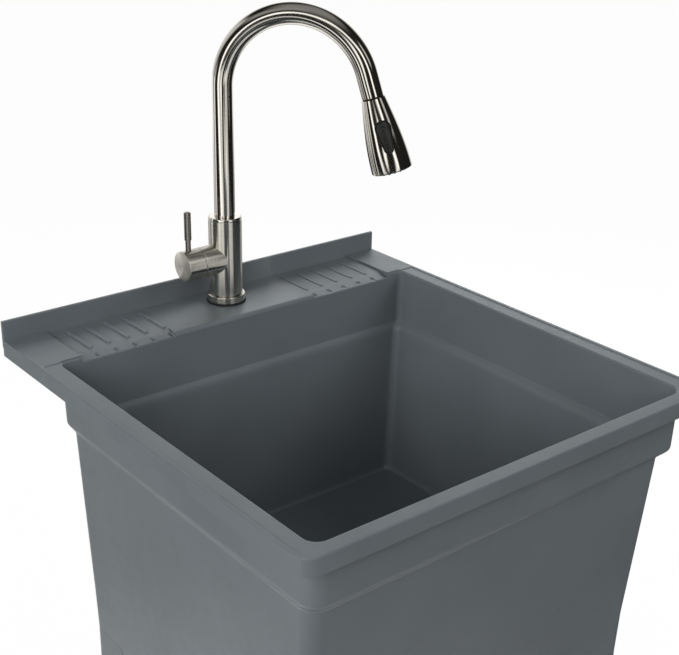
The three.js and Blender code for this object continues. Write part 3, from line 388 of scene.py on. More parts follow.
# tub
tub = {
    "wall": 4, "corner": 20, "wallTop": (23, 18, 100), "draft": 1.5, "step": (8.5, 13, 5),
    "taper": (10, 16, 3), "seamRise": 19, "outerRounds": [3, 4, 1], "innerRounds": [1.5, 9, 10], "bevel": 0.7,
    "shoulder": (78, 91), "ledge": (79, 87), "basin": 322, "fall": 5, "floor": 5, "apronDraft": 2,
    "bead": 6, "beadHeight": 1.2, "lipDrop": 21, "lipWall": 3.5, "lipRound": 1.8, "rimPlate": 4.5,
    "rimCorner": 20, "rearCorner": 2, "rearInner": 8, "rearGrow": 2, "mouthRound": 3, "splashRound": 1.6,
    "recess": 3, "deckPlate": 9.5, "deckRound": 5, "leftPad": 57, "rightPad": 51, "splash": 5,
    "tray": 137, "slope": 22, "drop": 4, "ribPitch": 27, "ribStart": 25, "ribWidth": 6, "ribHeight": 2,
    "ribRear": 17, "ribHeightRight": 1.2, "ribEdge": 0.7, "notchWidth": 6, "notchLength": 10,
    "notchDepth": 1.2, "notchDepthRight": 0.6,
    "tapHole": 17.5, "drainHole": 43.5, "flangeHole": 56, "flangeSink": 2.3, "through": 20,
}
apronLow = rimHeight - tubLow[2]  # depth of the apron's lower edge
seamDepth = apronLow - tub["seamRise"]
basinFront = halfDepth - tub["wallTop"][2] - tub["wall"]
deckInside = halfDepth - tub["splash"]
floorEdge = tub["basin"] + tub["floor"]
drainDepth = tub["basin"] + tub["fall"]
floorUnder = drainDepth + tub["floor"]
wallTop = np.array(tub["wallTop"], float)
wallShoulder = wallTop + tub["draft"]
wallBody = wallShoulder + tub["step"]
wallBottom = wallBody + tub["taper"]


def apronAt(depth):
    return wallBottom + tub["apronDraft"] * (depth - floorEdge) / (apronLow - floorEdge)


# Insets of the sides, front and rear, a depth and a corner radius as one row for rectangleRings.
def insetRow(inset, depth, radius, rear=None):
    x = halfWidth - inset[0]
    rear = radius if rear is None else rear
    front, back = inset[1] - halfDepth, halfDepth - inset[2]
    return [-x, x, front, back, rimHeight - depth, rear, rear, radius, radius]


# Shares of a radius, inwards and downwards, along a quarter round.
def quarter(steps):
    angle = np.linspace(0, math.pi / 2, steps)
    return zip(1 - np.sin(angle), 1 - np.cos(angle))


def tubBody():
    rows = [
        insetRow(wallTop, tub["rimPlate"] / 2, tub["corner"]),
        insetRow(wallShoulder, tub["shoulder"][0], tub["corner"]),
        insetRow(wallBody, tub["shoulder"][1], tub["corner"]),
        insetRow(wallBottom, floorEdge, tub["corner"]),
        insetRow(apronAt(apronLow), apronLow, tub["corner"]),
    ]
    return solid("tubBody", rectangleRings(soften(rows, tub["outerRounds"])))


def basinHollow():
    inner, rear = tub["corner"] - tub["wall"], tub["rearInner"]
    mouth = wallTop + tub["wall"]
    flare = tub["mouthRound"]
    rows = [insetRow(mouth - flare, -over, inner + flare, rear + flare)]
    for inwards, down in quarter(7):  # the mouth's edge turns from flat to upright
        back = flare * inwards
        rows.append(insetRow(mouth - back, tub["beadHeight"] + flare * down, inner + back, rear + back))
    wallRows = [
        rows[-1],
        insetRow(mouth + tub["draft"], tub["ledge"][0], inner, rear),
        insetRow(wallBody + tub["wall"], tub["ledge"][1], inner, rear + tub["rearGrow"]),
        insetRow(wallBottom + tub["wall"], tub["basin"], inner, rear + 2 * tub["rearGrow"]),
    ]
    reach = tub["flangeHole"] + 1
    near, far = drainSpot[1] - reach, drainSpot[1] + reach
    drain = [-reach, reach, near, far, rimHeight - drainDepth, *[reach] * 4]
    rows += soften(wallRows + [drain], tub["innerRounds"], 5)[1:].tolist()
    return solid("basinHollow", rectangleRings(rows))


def rimPlate():
    plate = []
    for inwards, down in quarter(6):
        offset = tub["lipRound"] * inwards
        front, rear = tub["rimCorner"] - offset, tub["rearCorner"] - offset
        x, y = halfWidth - offset, halfDepth - offset
        z = rimHeight - tub["lipRound"] * down
        plate.append([-x, x, -y, y, z, rear, rear, front, front])
    plate.append(plate[-1][:4] + [rimHeight - tub["lipDrop"]] + plate[-1][5:])
    made = solid("rimPlate", rectangleRings(plate, 10))
    field = []
    for offset, z in ((-0.8, 3), (-0.8, 0.2), (0.6, -tub["beadHeight"])):
        bead = tub["bead"] + offset
        x, front = halfWidth - bead, tub["rimCorner"] - bead
        rear = basinFront - 1.5 * offset  # the step up to the pads leans back
        field.append([-x, x, bead - halfDepth, rear, rimHeight + z, 1, 1, front, front])
    hollows = []
    for rear, top in ((basinFront, tub["rimPlate"]), (halfDepth - tub["lipWall"], tub["deckPlate"])):
        x, front = halfWidth - tub["lipWall"], tub["rimCorner"] - tub["lipWall"]
        under = [[-x, x, tub["lipWall"] - halfDepth, rear, rimHeight - z, 1, 1, front, front]
                 for z in (top, tub["lipDrop"] + 2)]
        hollows.append(solid("underRim", rectangleRings(under)))
    return carve(made, [solid("field", rectangleRings(field)), *hollows])


def splashBar():
    shape = [[halfDepth, rimHeight - tub["deckPlate"]], [halfDepth, rimHeight + splashHeight],
             [deckInside, rimHeight + splashHeight], [deckInside, rimHeight - tub["deckPlate"]]]
    return solid("splashBar", prismRings(soften(shape, tub["splashRound"]), [-halfWidth, halfWidth], 0))


# The deck's middle is lowered, with a round front edge, and may slope down to the basin.
def deckCut(x0, x1, rounding, slope, drop):
    floor = rimHeight - tub["recess"]
    low = floor - drop
    arc = [[basinFront + rounding * down, low - rounding * inwards] for inwards, down in quarter(6)]
    shape = [[basinFront - 2, rimHeight + 3], [basinFront - 2, low - rounding], *arc,
             [basinFront + slope, floor], [deckInside, floor], [deckInside, rimHeight + 3]]
    return solid("deckCut", prismRings(shape, [x0, x1], 0))


def padEdge(side):
    return side * (halfWidth - (tub["leftPad"] if side < 0 else tub["rightPad"]))


def ribPlaces(side):
    across = np.arange(tub["ribStart"], tub["tray"] - tub["ribWidth"] / 2, tub["ribPitch"])
    return padEdge(side) - side * across


# A rib is a long stadium with a flat top and quarter-round edges.
def trayRib(x):
    half = tub["ribWidth"] / 2
    height = tub["ribHeight"] if x < 0 else tub["ribHeightRight"]
    edge = tub["ribEdge"] * height
    rear, front = deckInside - tub["ribRear"] + half, basinFront + tub["slope"]
    rows = []
    for inwards, down in quarter(6):
        back = edge * inwards
        z = rimHeight - tub["recess"] + height - edge * down
        rows.append([x - half + back, x + half - back, front + back, rear - back, z, *[half - back] * 4])
    rows.append(rows[-1][:4] + [rimHeight - tub["recess"] - 1] + rows[-1][5:])
    return solid("rib", rectangleRings(rows, 6))


# A notch is a soft groove, narrower towards its floor.
def trayNotch(x):
    front = rimHeight - tub["recess"] - tub["drop"]
    rise = tub["drop"] * tub["notchLength"] / tub["slope"]
    depth = tub["notchDepth"] if x < 0 else tub["notchDepthRight"]
    rows = []
    for share, z in ((1.6, front + rise + 1), (1, front), (0.35, front - depth)):
        half = tub["notchWidth"] / 2 * share
        rear = basinFront + tub["notchLength"] * (0.6 + 0.4 * share)
        rows.append([x - half, x + half, basinFront - over, rear, z, *[half] * 4])
    return solid("notch", rectangleRings(rows, 5))


legShape = {
    "width": 75, "footWidth": 48, "wall": 4, "gap": 1.2, "round": 8, "tenonClear": 12, "tenonTaper": 14,
    "shoulder": 7, "boss": 32, "bossHeight": 34, "insert": 8, "insertLength": 24, "stud": 5, "lift": 18,
    "inset": 22,
}


def cornerOf(sx, sy, faces):
    return sx * (halfWidth - faces[0]), sy * (halfDepth - (faces[2] if sy > 0 else faces[1]))


# The cut for a leg: a rounded notch through the front or rear wall and one through the side wall.
def legNotch(sx, sy):
    x, y = cornerOf(sx, sy, apronAt(apronLow))
    reach = legShape["width"] + legShape["gap"]
    rounding = legShape["round"] + legShape["gap"]
    low, seam = rimHeight - apronLow - 2, rimHeight - seamDepth
    arc = [[reach - rounding * down, seam - rounding * inwards] for inwards, down in quarter(8)]
    shape = np.array([[-over, low], [reach, low], *arc, [-over, seam]])
    thick = tub["corner"] + tub["wall"]
    notches = []
    for s, start, t, wall, along in ((sx, x, sy, y, 1), (sy, y, sx, x, 0)):
        places = [wall + t * over, wall - t * thick]
        notches.append(solid("notch", prismRings(shape * [-s, 1] + [start, 0], places, along)))
    return notches


cornerSigns = {"front_left": (-1, -1), "front_right": (1, -1), "rear_right": (1, 1), "rear_left": (-1, 1)}


def makeTub():
    inner = tub["corner"] - tub["wall"]
    below = [insetRow(apronAt(d) + tub["wall"], d, inner) for d in (floorUnder, apronLow + over)]
    left, right = padEdge(-1), padEdge(1)
    centre = shift(drainSpot[0], drainSpot[1], 0)
    top = rimHeight - drainDepth
    hole = rod("hole", tub["drainHole"], top - tub["through"], top + over, 64, centre)
    flange = rod("flange", tub["flangeHole"], top - tub["flangeSink"], top + over, 64, centre)
    tapCentre = shift(tapSpot[0], tapSpot[1], 0)
    tapHole = rod("tapHole", tub["tapHole"], rimHeight - tub["through"], rimHeight + over, 48, tapCentre)
    made = carve(tubBody(), [rimPlate(), splashBar()], "UNION")
    places = [x for side in (-1, 1) for x in ribPlaces(side)]
    carve(made, [
        basinHollow(),
        solid("below", rectangleRings(below)),
        deckCut(left, right, tub["deckRound"], 2 * tub["deckRound"], 0),
        deckCut(left, left + tub["tray"], 2, tub["slope"], tub["drop"]),
        deckCut(right - tub["tray"], right, 2, tub["slope"], tub["drop"]),
        *[trayNotch(x) for x in places],
        *[cut for signs in cornerSigns.values() for cut in legNotch(*signs)],
        hole, flange, tapHole,
    ])
    carve(made, [trayRib(x) for x in places], "UNION")
    made.name = "tubShell"
    dress(made, "sink", tubPlastic, ["tub"], tub["bevel"])


makeTub()
print("tub made")


# legs
def legRow(sx, sy, faces, near, far, depth, radius):
    x, y = cornerOf(sx, sy, faces)
    xs = sorted([x - sx * near, x - sx * far])
    ys = sorted([y - sy * near, y - sy * far])
    radii = [radius if (cx, cy) == (sx, sy) else 1 for cx, cy in ((1, 1), (-1, 1), (-1, -1), (1, -1))]
    return [*xs, *ys, rimHeight - depth, *radii]


def makeLeg(name, sx, sy):
    d = legShape
    faces = apronAt(seamDepth)
    seam, bottom = seamDepth + seat, rimHeight - d["lift"]
    outer, inner = tub["corner"], tub["corner"] - tub["wall"]
    past = d["width"] + over

    def block(rows):
        return solid("block", rectangleRings([legRow(sx, sy, *row) for row in rows]))

    post = []
    for inwards, down in quarter(7):
        post.append((faces, 0, d["width"] - d["round"] * inwards, seam + d["round"] * down, outer))
    body = block(post + [(faces, 0, d["footWidth"], bottom, outer)])
    tenonTop = floorUnder + d["tenonClear"]
    tenonFaces = apronAt(tenonTop)
    tenonOut = tub["wall"] + seat
    tenonIn = tenonOut + d["wall"]
    tenonReach = d["width"] - d["round"]
    shoulder = seam + d["shoulder"]
    carve(body, [
        block([(faces, d["wall"], past, shoulder, inner), (faces, d["wall"], past, bottom + over, inner)]),
        block([(faces, tenonIn, past, seam - over, inner), (faces, tenonIn, past, shoulder + 1, inner)]),
    ])
    tenon = block([
        (tenonFaces, tenonOut, tenonReach - d["tenonTaper"], tenonTop, inner),
        (faces, tenonOut, tenonReach, seam, inner),
        (faces, tenonOut, tenonReach, seam + 1, inner),
    ])
    carve(tenon, [block([
        (tenonFaces, tenonIn, past, tenonTop - over, inner),
        (faces, tenonIn, past, seam, inner),
        (faces, tenonIn, past, seam + over, inner),
    ])])
    boss = block([(faces, d["wall"] - 1, d["wall"] + d["boss"], bottom - d["bossHeight"], inner),
                  (faces, d["wall"] - 1, d["wall"] + d["boss"], bottom, inner)])
    carve(body, [tenon, boss], "UNION")
    x, y = cornerOf(sx, sy, faces)
    place = shift(x - sx * d["inset"], y - sy * d["inset"], 0)
    carve(body, [
        rod("socket", d["insert"] + seat, 0, d["lift"] + d["insertLength"] + seat, 48, place),
        rod("studWay", d["stud"] + 0.5, 0, d["lift"] + d["bossHeight"] + over, 48, place),
    ])
    body.name = "legShell_" + name
    dress(body, "sink", tubPlastic, ["leg_" + name], tub["bevel"])


for name, (sx, sy) in cornerSigns.items():
    makeLeg(name, sx, sy)

foot = {"radius": 19, "height": 12, "chamfer": 1.5, "slope": 5, "slopeDrop": 4, "stud": 5, "studLength": 42,
        "rounds": [0.8, 0.5, 1.2, 1.2, 0.5, 0.5]}


def makeFoot(name):
    middle = sum(boxOf("foot_" + name)) / 2
    place = shift(middle[0], middle[1], 0)
    d = foot
    top = d["height"]
    profile = [[0, top + d["studLength"]], [d["stud"], top + d["studLength"]], [d["stud"], top],
               [d["radius"] - d["slope"], top], [d["radius"], top - d["slopeDrop"]],
               [d["radius"], d["chamfer"]], [d["radius"] - d["chamfer"], 0], [0, 0]]
    made = turned("footPad_" + name, profile, d["rounds"], 64, place=place)
    dress(made, "foot_" + name, blackPlastic, ["foot_" + name])


for name in cornerSigns:
    makeFoot(name)
print("legs and feet made")


# tap body, ring, gasket and collar; heights over the deck
tap = {
    "body": 22.7, "top": 119, "foot": 20, "ring": 26.2, "ringHeight": 9, "pad": 27.2, "padHeight": 2.5,
    "hub": 20.6, "hubHeight": 63.7, "branch": 42.4, "chamfer": 1.2, "bushing": 16.8, "spigotDown": 24,
    "nut": 18, "cartridge": 15, "cartridgeStart": 13.3, "cartridgeEnd": 34, "shank": 16.2, "shankSocket": 17,
    "collar": 22.2, "collarHeight": 3.6, "spout": 14, "spoutWall": 1.3, "hoseWay": 6,
    "bodyRounds": [0.8, 0.4, 0.1, 0.1], "ringRounds": [0.3, 1.3, 0.5, 0.3], "padRounds": [0.3, 0.8, 0.5, 0.3],
    "collarRounds": [0.4, 1.2, 0.4, 0.3], "bevel": 0.5,
}
padTop = seat + tap["padHeight"]
ringLow = padTop + seat
ringTop = ringLow + tap["ringHeight"]
tubeLow = tap["top"] + seat
hubPlace = atTap @ shift(0, 0, tap["hubHeight"]) @ turn(-90, "Y")  # local Z runs out to the left


def makeTapBody():
    d = tap
    body = turned("tapBody", [[0, d["top"]], [d["body"], d["top"]], [d["body"], ringTop + seat],
                              [d["foot"], ringTop + seat], [d["foot"], ringLow], [0, ringLow]],
                  d["bodyRounds"], 96, place=atTap)
    branch = turned("branch", [[0, d["branch"]], [d["hub"], d["branch"]], [d["hub"], 0], [0, 0]],
                    [d["chamfer"], 0], 96, place=hubPlace)
    carve(body, [branch], "UNION")
    nut, cartridge = d["nut"] + seat, d["cartridge"] + seat
    out, end, start = d["branch"] + over, d["cartridgeEnd"], d["cartridgeStart"] - seat
    profile = [[0, out], [nut, out], [nut, end], [cartridge, end], [cartridge, start], [0, start]]
    nutWay = turned("nutWay", profile, sides=96, place=hubPlace)
    carve(body, [
        nutWay,
        rod("spoutWay", d["bushing"] + seat, d["top"] - d["spigotDown"] - seat, d["top"] + over, 96, atTap),
        rod("hoseWay", d["hoseWay"], -over, d["top"], 48, atTap),
        rod("shankWay", d["shank"] + seat, -over, ringLow + d["shankSocket"], 64, atTap),
    ])
    dress(body, "sink", nickelTurned, ["tap_body"], d["bevel"], 3)


def ringRoundTap(name, bore, outer, top, low, rounds):
    profile = [[bore, top], [outer, top], [outer, low], [bore, low]]
    return turned(name, profile, rounds, 96, True, atTap)


def makeRings():
    d = tap
    ring = ringRoundTap("baseRing", d["foot"] + seat, d["ring"], ringTop, ringLow, d["ringRounds"])
    dress(ring, "sink", nickelTurned, ["base_ring"])
    pad = ringRoundTap("baseGasket", d["shank"] + seat, d["pad"], padTop, seat, d["padRounds"])
    dress(pad, "sink", blackRubber, ["base_gasket"])
    high = tubeLow + d["collarHeight"]
    bore = d["spout"] + seat
    collar = ringRoundTap("spoutCollar", bore, d["collar"], high, tubeLow, d["collarRounds"])
    dress(collar, "spout", nickel, ["spout_collar"])


makeTapBody()
makeRings()

# spout
spout = {"heading": 37, "arch": 98, "archHeight": 298.5, "sweep": 163, "straight": 30, "steps": 72,
         "sides": 64, "lip": 0.5, "headGap": 1.8}
atSpout = atTap @ turn(spout["heading"], "Z")
sweep = math.radians(spout["sweep"])


# The arch's centreline, at an angle round from its start.
def archPoints(angle):
    y = spout["arch"] * (np.cos(angle) - 1)
    z = spout["archHeight"] + spout["arch"] * np.sin(angle)
    return np.stack([0 * angle, y, z], -1)


archEnd = archPoints(sweep)
wayOut = np.array([0, -math.sin(sweep), math.cos(sweep)])
spoutEnd = archEnd + spout["straight"] * wayOut
atHead = atSpout @ shift(*spoutEnd) @ turn(spout["sweep"] - 180, "X") @ shift(0, 0, -spout["headGap"])


# Centres and directions of the spout: straight up, round the arch, straight out.
def spoutPath():
    angle = np.linspace(0, sweep, spout["steps"])
    rise = np.linspace(tubeLow, spout["archHeight"], 12, endpoint=False)
    run = np.linspace(0, spout["straight"], 8)[1:]
    up = np.stack([0 * rise, 0 * rise, rise], 1)
    centres = np.vstack([up, archPoints(angle), archEnd + run[:, None] * wayOut])
    return centres, np.concatenate([0 * rise, angle, 0 * run + sweep])


# A circle stands square to the path at every centre.
def tubeRings(centres, headings, radii):
    angle = np.linspace(0, 2 * math.pi, spout["sides"], endpoint=False)
    radii = np.broadcast_to(radii, len(centres))[:, None, None]
    outward = np.stack([0 * headings, np.cos(headings), np.sin(headings)], 1)[:, None]
    across = np.array([1.0, 0, 0])
    circle = np.cos(angle)[None, :, None] * outward + np.sin(angle)[None, :, None] * across
    return centres[:, None] + radii * circle


def makeSpout():
    inside = tap["spout"] - tap["spoutWall"]
    centres, headings = spoutPath()
    lip = spout["lip"]
    centresOut = np.vstack([centres[:-1], centres[-1] - lip * wayOut, centres[-1:]])
    headingsOut = np.append(headings, headings[-1])
    outer = np.append([tap["spout"]] * len(centres), tap["spout"] - lip)
    rings = np.vstack([
        tubeRings(centresOut, headingsOut, outer),
        tubeRings(centres[::-1], headings[::-1], inside),
    ])
    made = solid("spoutTube", rings, True, atSpout)
    dress(made, "spout", nickel, ["spout_tube"])


makeSpout()
print("tap body and spout made")

# spray head; local Z runs up its axis from the joint with the spout
head = {"turn": -68, "length": 95, "top": 15.3, "mouth": 26.5, "wall": 2, "round": 1.5, "rings": 28,
        "sides": 96, "button": 39.5, "wide": 8.9, "narrow": 4.7, "middle": 48.3, "proud": 0.9, "gap": 0.7,
        "bezel": 1.6, "bezelProud": 0.4, "bezelFloor": 14, "cupFloor": 1.5, "travel": 2.2, "face": 7,
        "dimples": [(7, 36, 6), (4, 63, 3.4)], "faceRounds": [0.3, 0.9],
        "bevel": 0.3, "bezelBevel": 0.35, "buttonBevel": 0.5,
        "nozzle": 1.2, "nozzleLength": 1.6, "nozzleRing": 19, "nozzles": 16}
atButton = atHead @ turn(head["turn"], "Z")
headLow = head["length"] - head["round"]  # where the mouth's round edge begins


# The radius swells as a quarter sine from the head's top to its mouth.
def headRadius(depth):
    return head["top"] + (head["mouth"] - head["top"]) * np.sin(depth / head["length"] * math.pi / 2)


def headProfile(offset, end):
    depth = np.linspace(0, end, head["rings"])
    return np.stack([headRadius(depth) + offset, -depth], 1)


def headSolid(offset):
    rows = np.vstack([[[0, 0]], headProfile(offset, headLow), [[0, -headLow]]])
    return turned("headSolid", rows, sides=head["sides"], place=atHead)


def arcAt(height, radius, start, end, steps):
    angle = np.linspace(start, end, steps)
    return np.stack([radius * np.cos(angle), height + radius * np.sin(angle)], 1)


# A large round above a small one, joined by their common tangents.
def teardrop(margin):
    wide, narrow = head["wide"], head["narrow"]
    between = head["button"] - wide - narrow
    upper = head["button"] / 2 - wide - head["middle"]
    lean = math.asin((wide - narrow) / between)
    return np.vstack([
        arcAt(upper, wide + margin, -lean, math.pi + lean, 25),
        arcAt(upper - between, narrow + margin, math.pi + lean, 2 * math.pi - lean, 17),
    ])


def teardropBar(margin, start):
    return solid("bar", prismRings(teardrop(margin), [-start, -2 * head["mouth"]], 1), place=atButton)


def ball(radius, place):
    return turned("ball", arcAt(0, radius, math.pi / 2, -math.pi / 2, 13), sides=32, place=place)


# Where the button's face lies, at a height along the head's axis.
def buttonPlace(depth, lift):
    return atButton @ shift(0, -float(headRadius(depth)) - head["proud"] - lift, -depth)


def makeHead():
    d = head
    inner = headProfile(-d["wall"], d["length"])[::-1]
    rim = [[headRadius(headLow) - d["round"] * down, -headLow - d["round"] * (1 - inwards)]
           for inwards, down in quarter(6)]
    profile = np.vstack([headProfile(0, headLow), rim[1:], inner])
    shell = turned("headShell", profile, sides=d["sides"], loop=True, place=atHead)
    carve(shell, [teardropBar(d["bezel"] + seat, d["bezelFloor"] - seat)])
    dress(shell, "spray_head", nickel, ["head_shell"], d["bevel"])

    cupLow = d["bezelFloor"] + d["cupFloor"]
    bezel = carve(teardropBar(d["bezel"], d["bezelFloor"]), [headSolid(d["bezelProud"])], "INTERSECT")
    carve(bezel, [teardropBar(d["gap"], cupLow)])
    bezel.name = "buttonBezel"
    dress(bezel, "spray_head", blackPlastic, ["button_bezel"], d["bezelBevel"])

    button = carve(teardropBar(0, cupLow + d["travel"]), [headSolid(d["proud"])], "INTERSECT")
    carve(button, [ball(radius, buttonPlace(depth, lift)) for radius, depth, lift in d["dimples"]])
    button.name = "sprayButton"
    dress(button, "spray_button", blackPlastic, ["spray_button"], d["buttonBevel"], 3)


makeHead()

hose = {"radius": 4.6, "inside": 26, "end": -5}


# The hose at the head: it rests inside the spout's end.
def makeHoseRun():
    d = hose
    along = np.linspace(d["inside"], d["end"], 40)
    profile = np.vstack([[[0, along[0]]], np.stack([d["radius"] + 0 * along, along], 1), [[0, along[-1]]]])
    run = turned("hoseRun", profile, sides=32, place=atHead)
    smooth(run, hoseBraid)
    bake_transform(run)


makeHoseRun()


def makeFace():
    d = head
    top, low = headLow - d["face"] + seat, d["length"] + seat
    radius = headRadius(top) - d["wall"] - seat
    profile = [[0, -top], [radius, -top], [radius, -low], [0, -low]]
    face = turned("sprayFace", profile, d["faceRounds"], 96, place=atHead)
    nozzle, tip = d["nozzle"], -d["nozzleLength"]
    profile = [[0, 1], [nozzle, 1], [nozzle, tip], [0, tip]]
    nozzles = []
    for ring, count in ((d["nozzleRing"], d["nozzles"]), (d["nozzleRing"] / 2, d["nozzles"] // 2)):
        for i in range(count):
            place = atHead @ turn(360 * i / count, "Z") @ shift(ring, 0, -low)
            nozzles.append(turned("nozzle", profile, [0, 0.4], 12, place=place))
    carve(face, nozzles, "UNION")
    dress(face, "spray_head", blackPlastic, ["spray_face"])


makeFace()
print("spray head made")

# handle; lengths run outwards from the tap's axis
handle = {"capStart": 43.2, "capFace": 69.2, "cavity": 11, "wall": 1, "stem": 3.2, "socket": 10,
          "lever": 59.4, "neck": 3.7, "neckLength": 15.2, "neckSocket": 6.6, "grip": 4.75, "gripLength": 38.5,
          "capRounds": [0.8, 0.3, 0.3, 0.5, 0.2, 0.1], "leverRounds": [1.5, 0.5, 0.4, 0.2],
          "bevel": 0.3}


def makeHandle():
    d = handle
    hub = tap["hub"]
    cavityEnd = d["capStart"] + d["cavity"]
    socketEnd = cavityEnd + d["socket"]
    cap = turned("handleCap", [[0, d["capFace"]], [hub, d["capFace"]], [hub, d["capStart"]],
                               [hub - d["wall"], d["capStart"]], [hub - d["wall"], cavityEnd],
                               [d["stem"] + seat, cavityEnd], [d["stem"] + seat, socketEnd], [0, socketEnd]],
                 d["capRounds"], 96, place=hubPlace)
    leverPlace = hubPlace @ shift(0, 0, d["lever"]) @ turn(90, "Y")
    neckLow = hub - d["neckSocket"]
    carve(cap, [rod("neckHole", d["neck"] + seat, neckLow - seat, hub + over, 48, leverPlace)])
    dress(cap, "handle", nickelTurned, ["handle_cap"], d["bevel"])
    neckTop = hub + d["neckLength"]
    tip = neckTop + d["gripLength"]
    lever = turned("handleLever", [[0, tip], [d["grip"], tip], [d["grip"], neckTop], [d["neck"], neckTop],
                                   [d["neck"], neckLow], [0, neckLow]],
                   d["leverRounds"], 64, place=leverPlace)
    dress(lever, "handle", nickelDark, ["handle_lever"])


makeHandle()
print("handle made")

# strainer; heights over the floor at the drain
strainer = {"bowl": 42.5, "depth": 46, "wall": 1.5, "flange": 55, "flangeThick": 2, "outlet": 22,
            "outletLength": 16, "rim": 2, "basketWall": 1.2, "basketDepth": 28, "holes": 8, "hole": 2.4,
            "holeRing": 25, "knob": 8, "knobHeight": 9, "post": 3, "running": 0.5, "sealThick": 4,
            "bowlRounds": [0.8, 0.8, 0.5, 0.3, 0.3, 3, 1, 0.3, 0.3, 1, 3],
            "basketRounds": [1.2, 1, 1, 2, 4, 0.8, 0.4, 0.4, 0.4, 4]}


def makeStrainer():
    d = strainer
    inside = d["bowl"] - d["wall"]
    low = -d["flangeThick"] - d["depth"]
    out = low - d["outletLength"]
    body = turned("strainerBowl", [
        [inside, -d["wall"]], [inside + d["wall"], 0], [d["flange"] - 1, 0], [d["flange"], -d["flangeThick"]],
        [d["bowl"], -d["flangeThick"]], [d["bowl"], low], [d["outlet"], low], [d["outlet"], out],
        [d["outlet"] - d["wall"], out], [d["outlet"] - d["wall"], low + d["wall"]], [inside, low + d["wall"]],
    ], d["bowlRounds"], 96, True, atDrain)
    dress(body, "sink", steel, ["strainer_body"])

    rim = inside - d["running"]
    cup = rim - d["rim"]
    rimTop = -d["wall"] - d["basketWall"]
    cupLow = rimTop - d["basketDepth"]
    basket = turned("basketCup", [
        [0, 0], [d["knob"], 0], [d["knob"], -d["knobHeight"]], [d["post"], -d["knobHeight"]],
        [d["post"], cupLow + d["basketWall"]], [cup - d["basketWall"], cupLow + d["basketWall"]],
        [cup - d["basketWall"], rimTop], [rim, rimTop], [rim, rimTop - d["basketWall"]],
        [cup, rimTop - d["basketWall"]], [cup, cupLow], [0, cupLow],
    ], d["basketRounds"], 96, place=atDrain)
    postLow = low + d["wall"] + 2 * seat
    collar = postLow + d["sealThick"]
    post = turned("post", [
        [0, cupLow + 0.6], [d["post"], cupLow + 0.6], [d["post"], collar + d["basketWall"]],
        [2 * d["post"], collar + d["basketWall"]], [2 * d["post"], collar], [d["post"], collar],
        [d["post"], postLow], [0, postLow],
    ], sides=48, place=atDrain)
    carve(basket, [post], "UNION")
    holes = []
    for i in range(d["holes"]):
        place = atDrain @ turn(360 * i / d["holes"], "Z") @ shift(d["holeRing"], 0, 0)
        holes.append(rod("hole", d["hole"], cupLow - 2, cupLow + 3, 24, place))
    carve(basket, holes)
    dress(basket, "basket", steel, ["strainer_basket"])


makeStrainer()
print("strainer made")

# finishes of the frame's own pieces
finishes = {
    blackRubber: ["strainer_gasket", "basket_seal", "mounting_rubber", "spout_o_ring_lower",
                  "spout_o_ring_upper"],
    fibreCard: ["friction_washer"],
    steel: ["strainer_locknut", "tailpiece", "mounting_washer", "carrier_pin", "handle_stem", "cap_screw"],
    brass: ["tap_shank", "mounting_nut", "hot_inlet", "cold_inlet", "hose_connector", "spout_spigot",
            "hose_nut", "cartridge_nut", *["leg_insert_" + name for name in cornerSigns]],
    whitePlastic: ["tailpiece_washer", "slip_nut", "spout_bushing", "spray_core", "cartridge_body",
                   "cartridge_carrier"],
    blackPlastic: ["spout_guide"],
    hoseBraid: ["pullout_hose"],
}
for material, names in finishes.items():
    for name in names:
        nodes[name].material_slots[0].material = material
print("frame pieces finished")

# studio: pale floor, soft lamps, and a dome and strips of light that show only in the metal
studio = {"floor": 60, "floorTone": 0.62, "floorWhite": 0.98, "world": 0.01, "white": (1.0, 1.0, 1.0, 1.0)}
warmWhite = (1.0, 0.985, 0.95)


def emptied(owner):
    owner.use_nodes = True
    owner.node_tree.nodes.clear()
    return owner.node_tree


def mixed(tree, factor, first, second):
    return addNode(tree, "ShaderNodeMixShader", {0: factor, 1: first, 2: second}).outputs[0]


def hide(thing, *rays):
    for ray in rays:
        setattr(thing, "visible_" + ray, False)


# One where the camera looks straight at a thing, or through glass or by gloss; nought for soft light.
def seenSharply(tree):
    rays = addNode(tree, "ShaderNodeLightPath").outputs
    seen = rays["Is Camera Ray"]
    for name in ("Is Glossy Ray", "Is Transmission Ray"):
        seen = addNode(tree, "ShaderNodeMath", {0: seen, 1: rays[name]}, operation="MAXIMUM").outputs[0]
    return seen


def makeWorld():
    world = bpy.context.scene.world = bpy.data.worlds.new("studio")
    tree = emptied(world)
    plain, white = (
        addNode(tree, "ShaderNodeBackground", {"Color": studio["white"], "Strength": strength}).outputs[0]
        for strength in (studio["world"], 1.0)
    )
    addNode(tree, "ShaderNodeOutputWorld", {"Surface": mixed(tree, seenSharply(tree), plain, white)})


def makeFloor():
    half = studio["floor"] / 2
    corners = [(-half, -half, 0), (half, -half, 0), (half, half, 0), (-half, half, 0)]
    mesh = bpy.data.meshes.new("floor")
    mesh.from_pydata(corners, [], [(0, 1, 2, 3)])
    floor = placed("floor", mesh)
    material = bpy.data.materials.new("floorPaint")
    tree = emptied(material)
    grey = (*[studio["floorTone"]] * 3, 1)
    paint = addNode(tree, "ShaderNodeBsdfDiffuse", {"Color": grey}).outputs[0]
    glow = addNode(tree, "ShaderNodeEmission", {"Color": studio["white"], "Strength": 1.0}).outputs[0]
    both = {0: seenSharply(tree), 1: studio["floorWhite"]}
    share = addNode(tree, "ShaderNodeMath", both, operation="MULTIPLY").outputs[0]
    addNode(tree, "ShaderNodeOutputMaterial", {"Surface": mixed(tree, share, paint, glow)})
    mesh.materials.append(material)


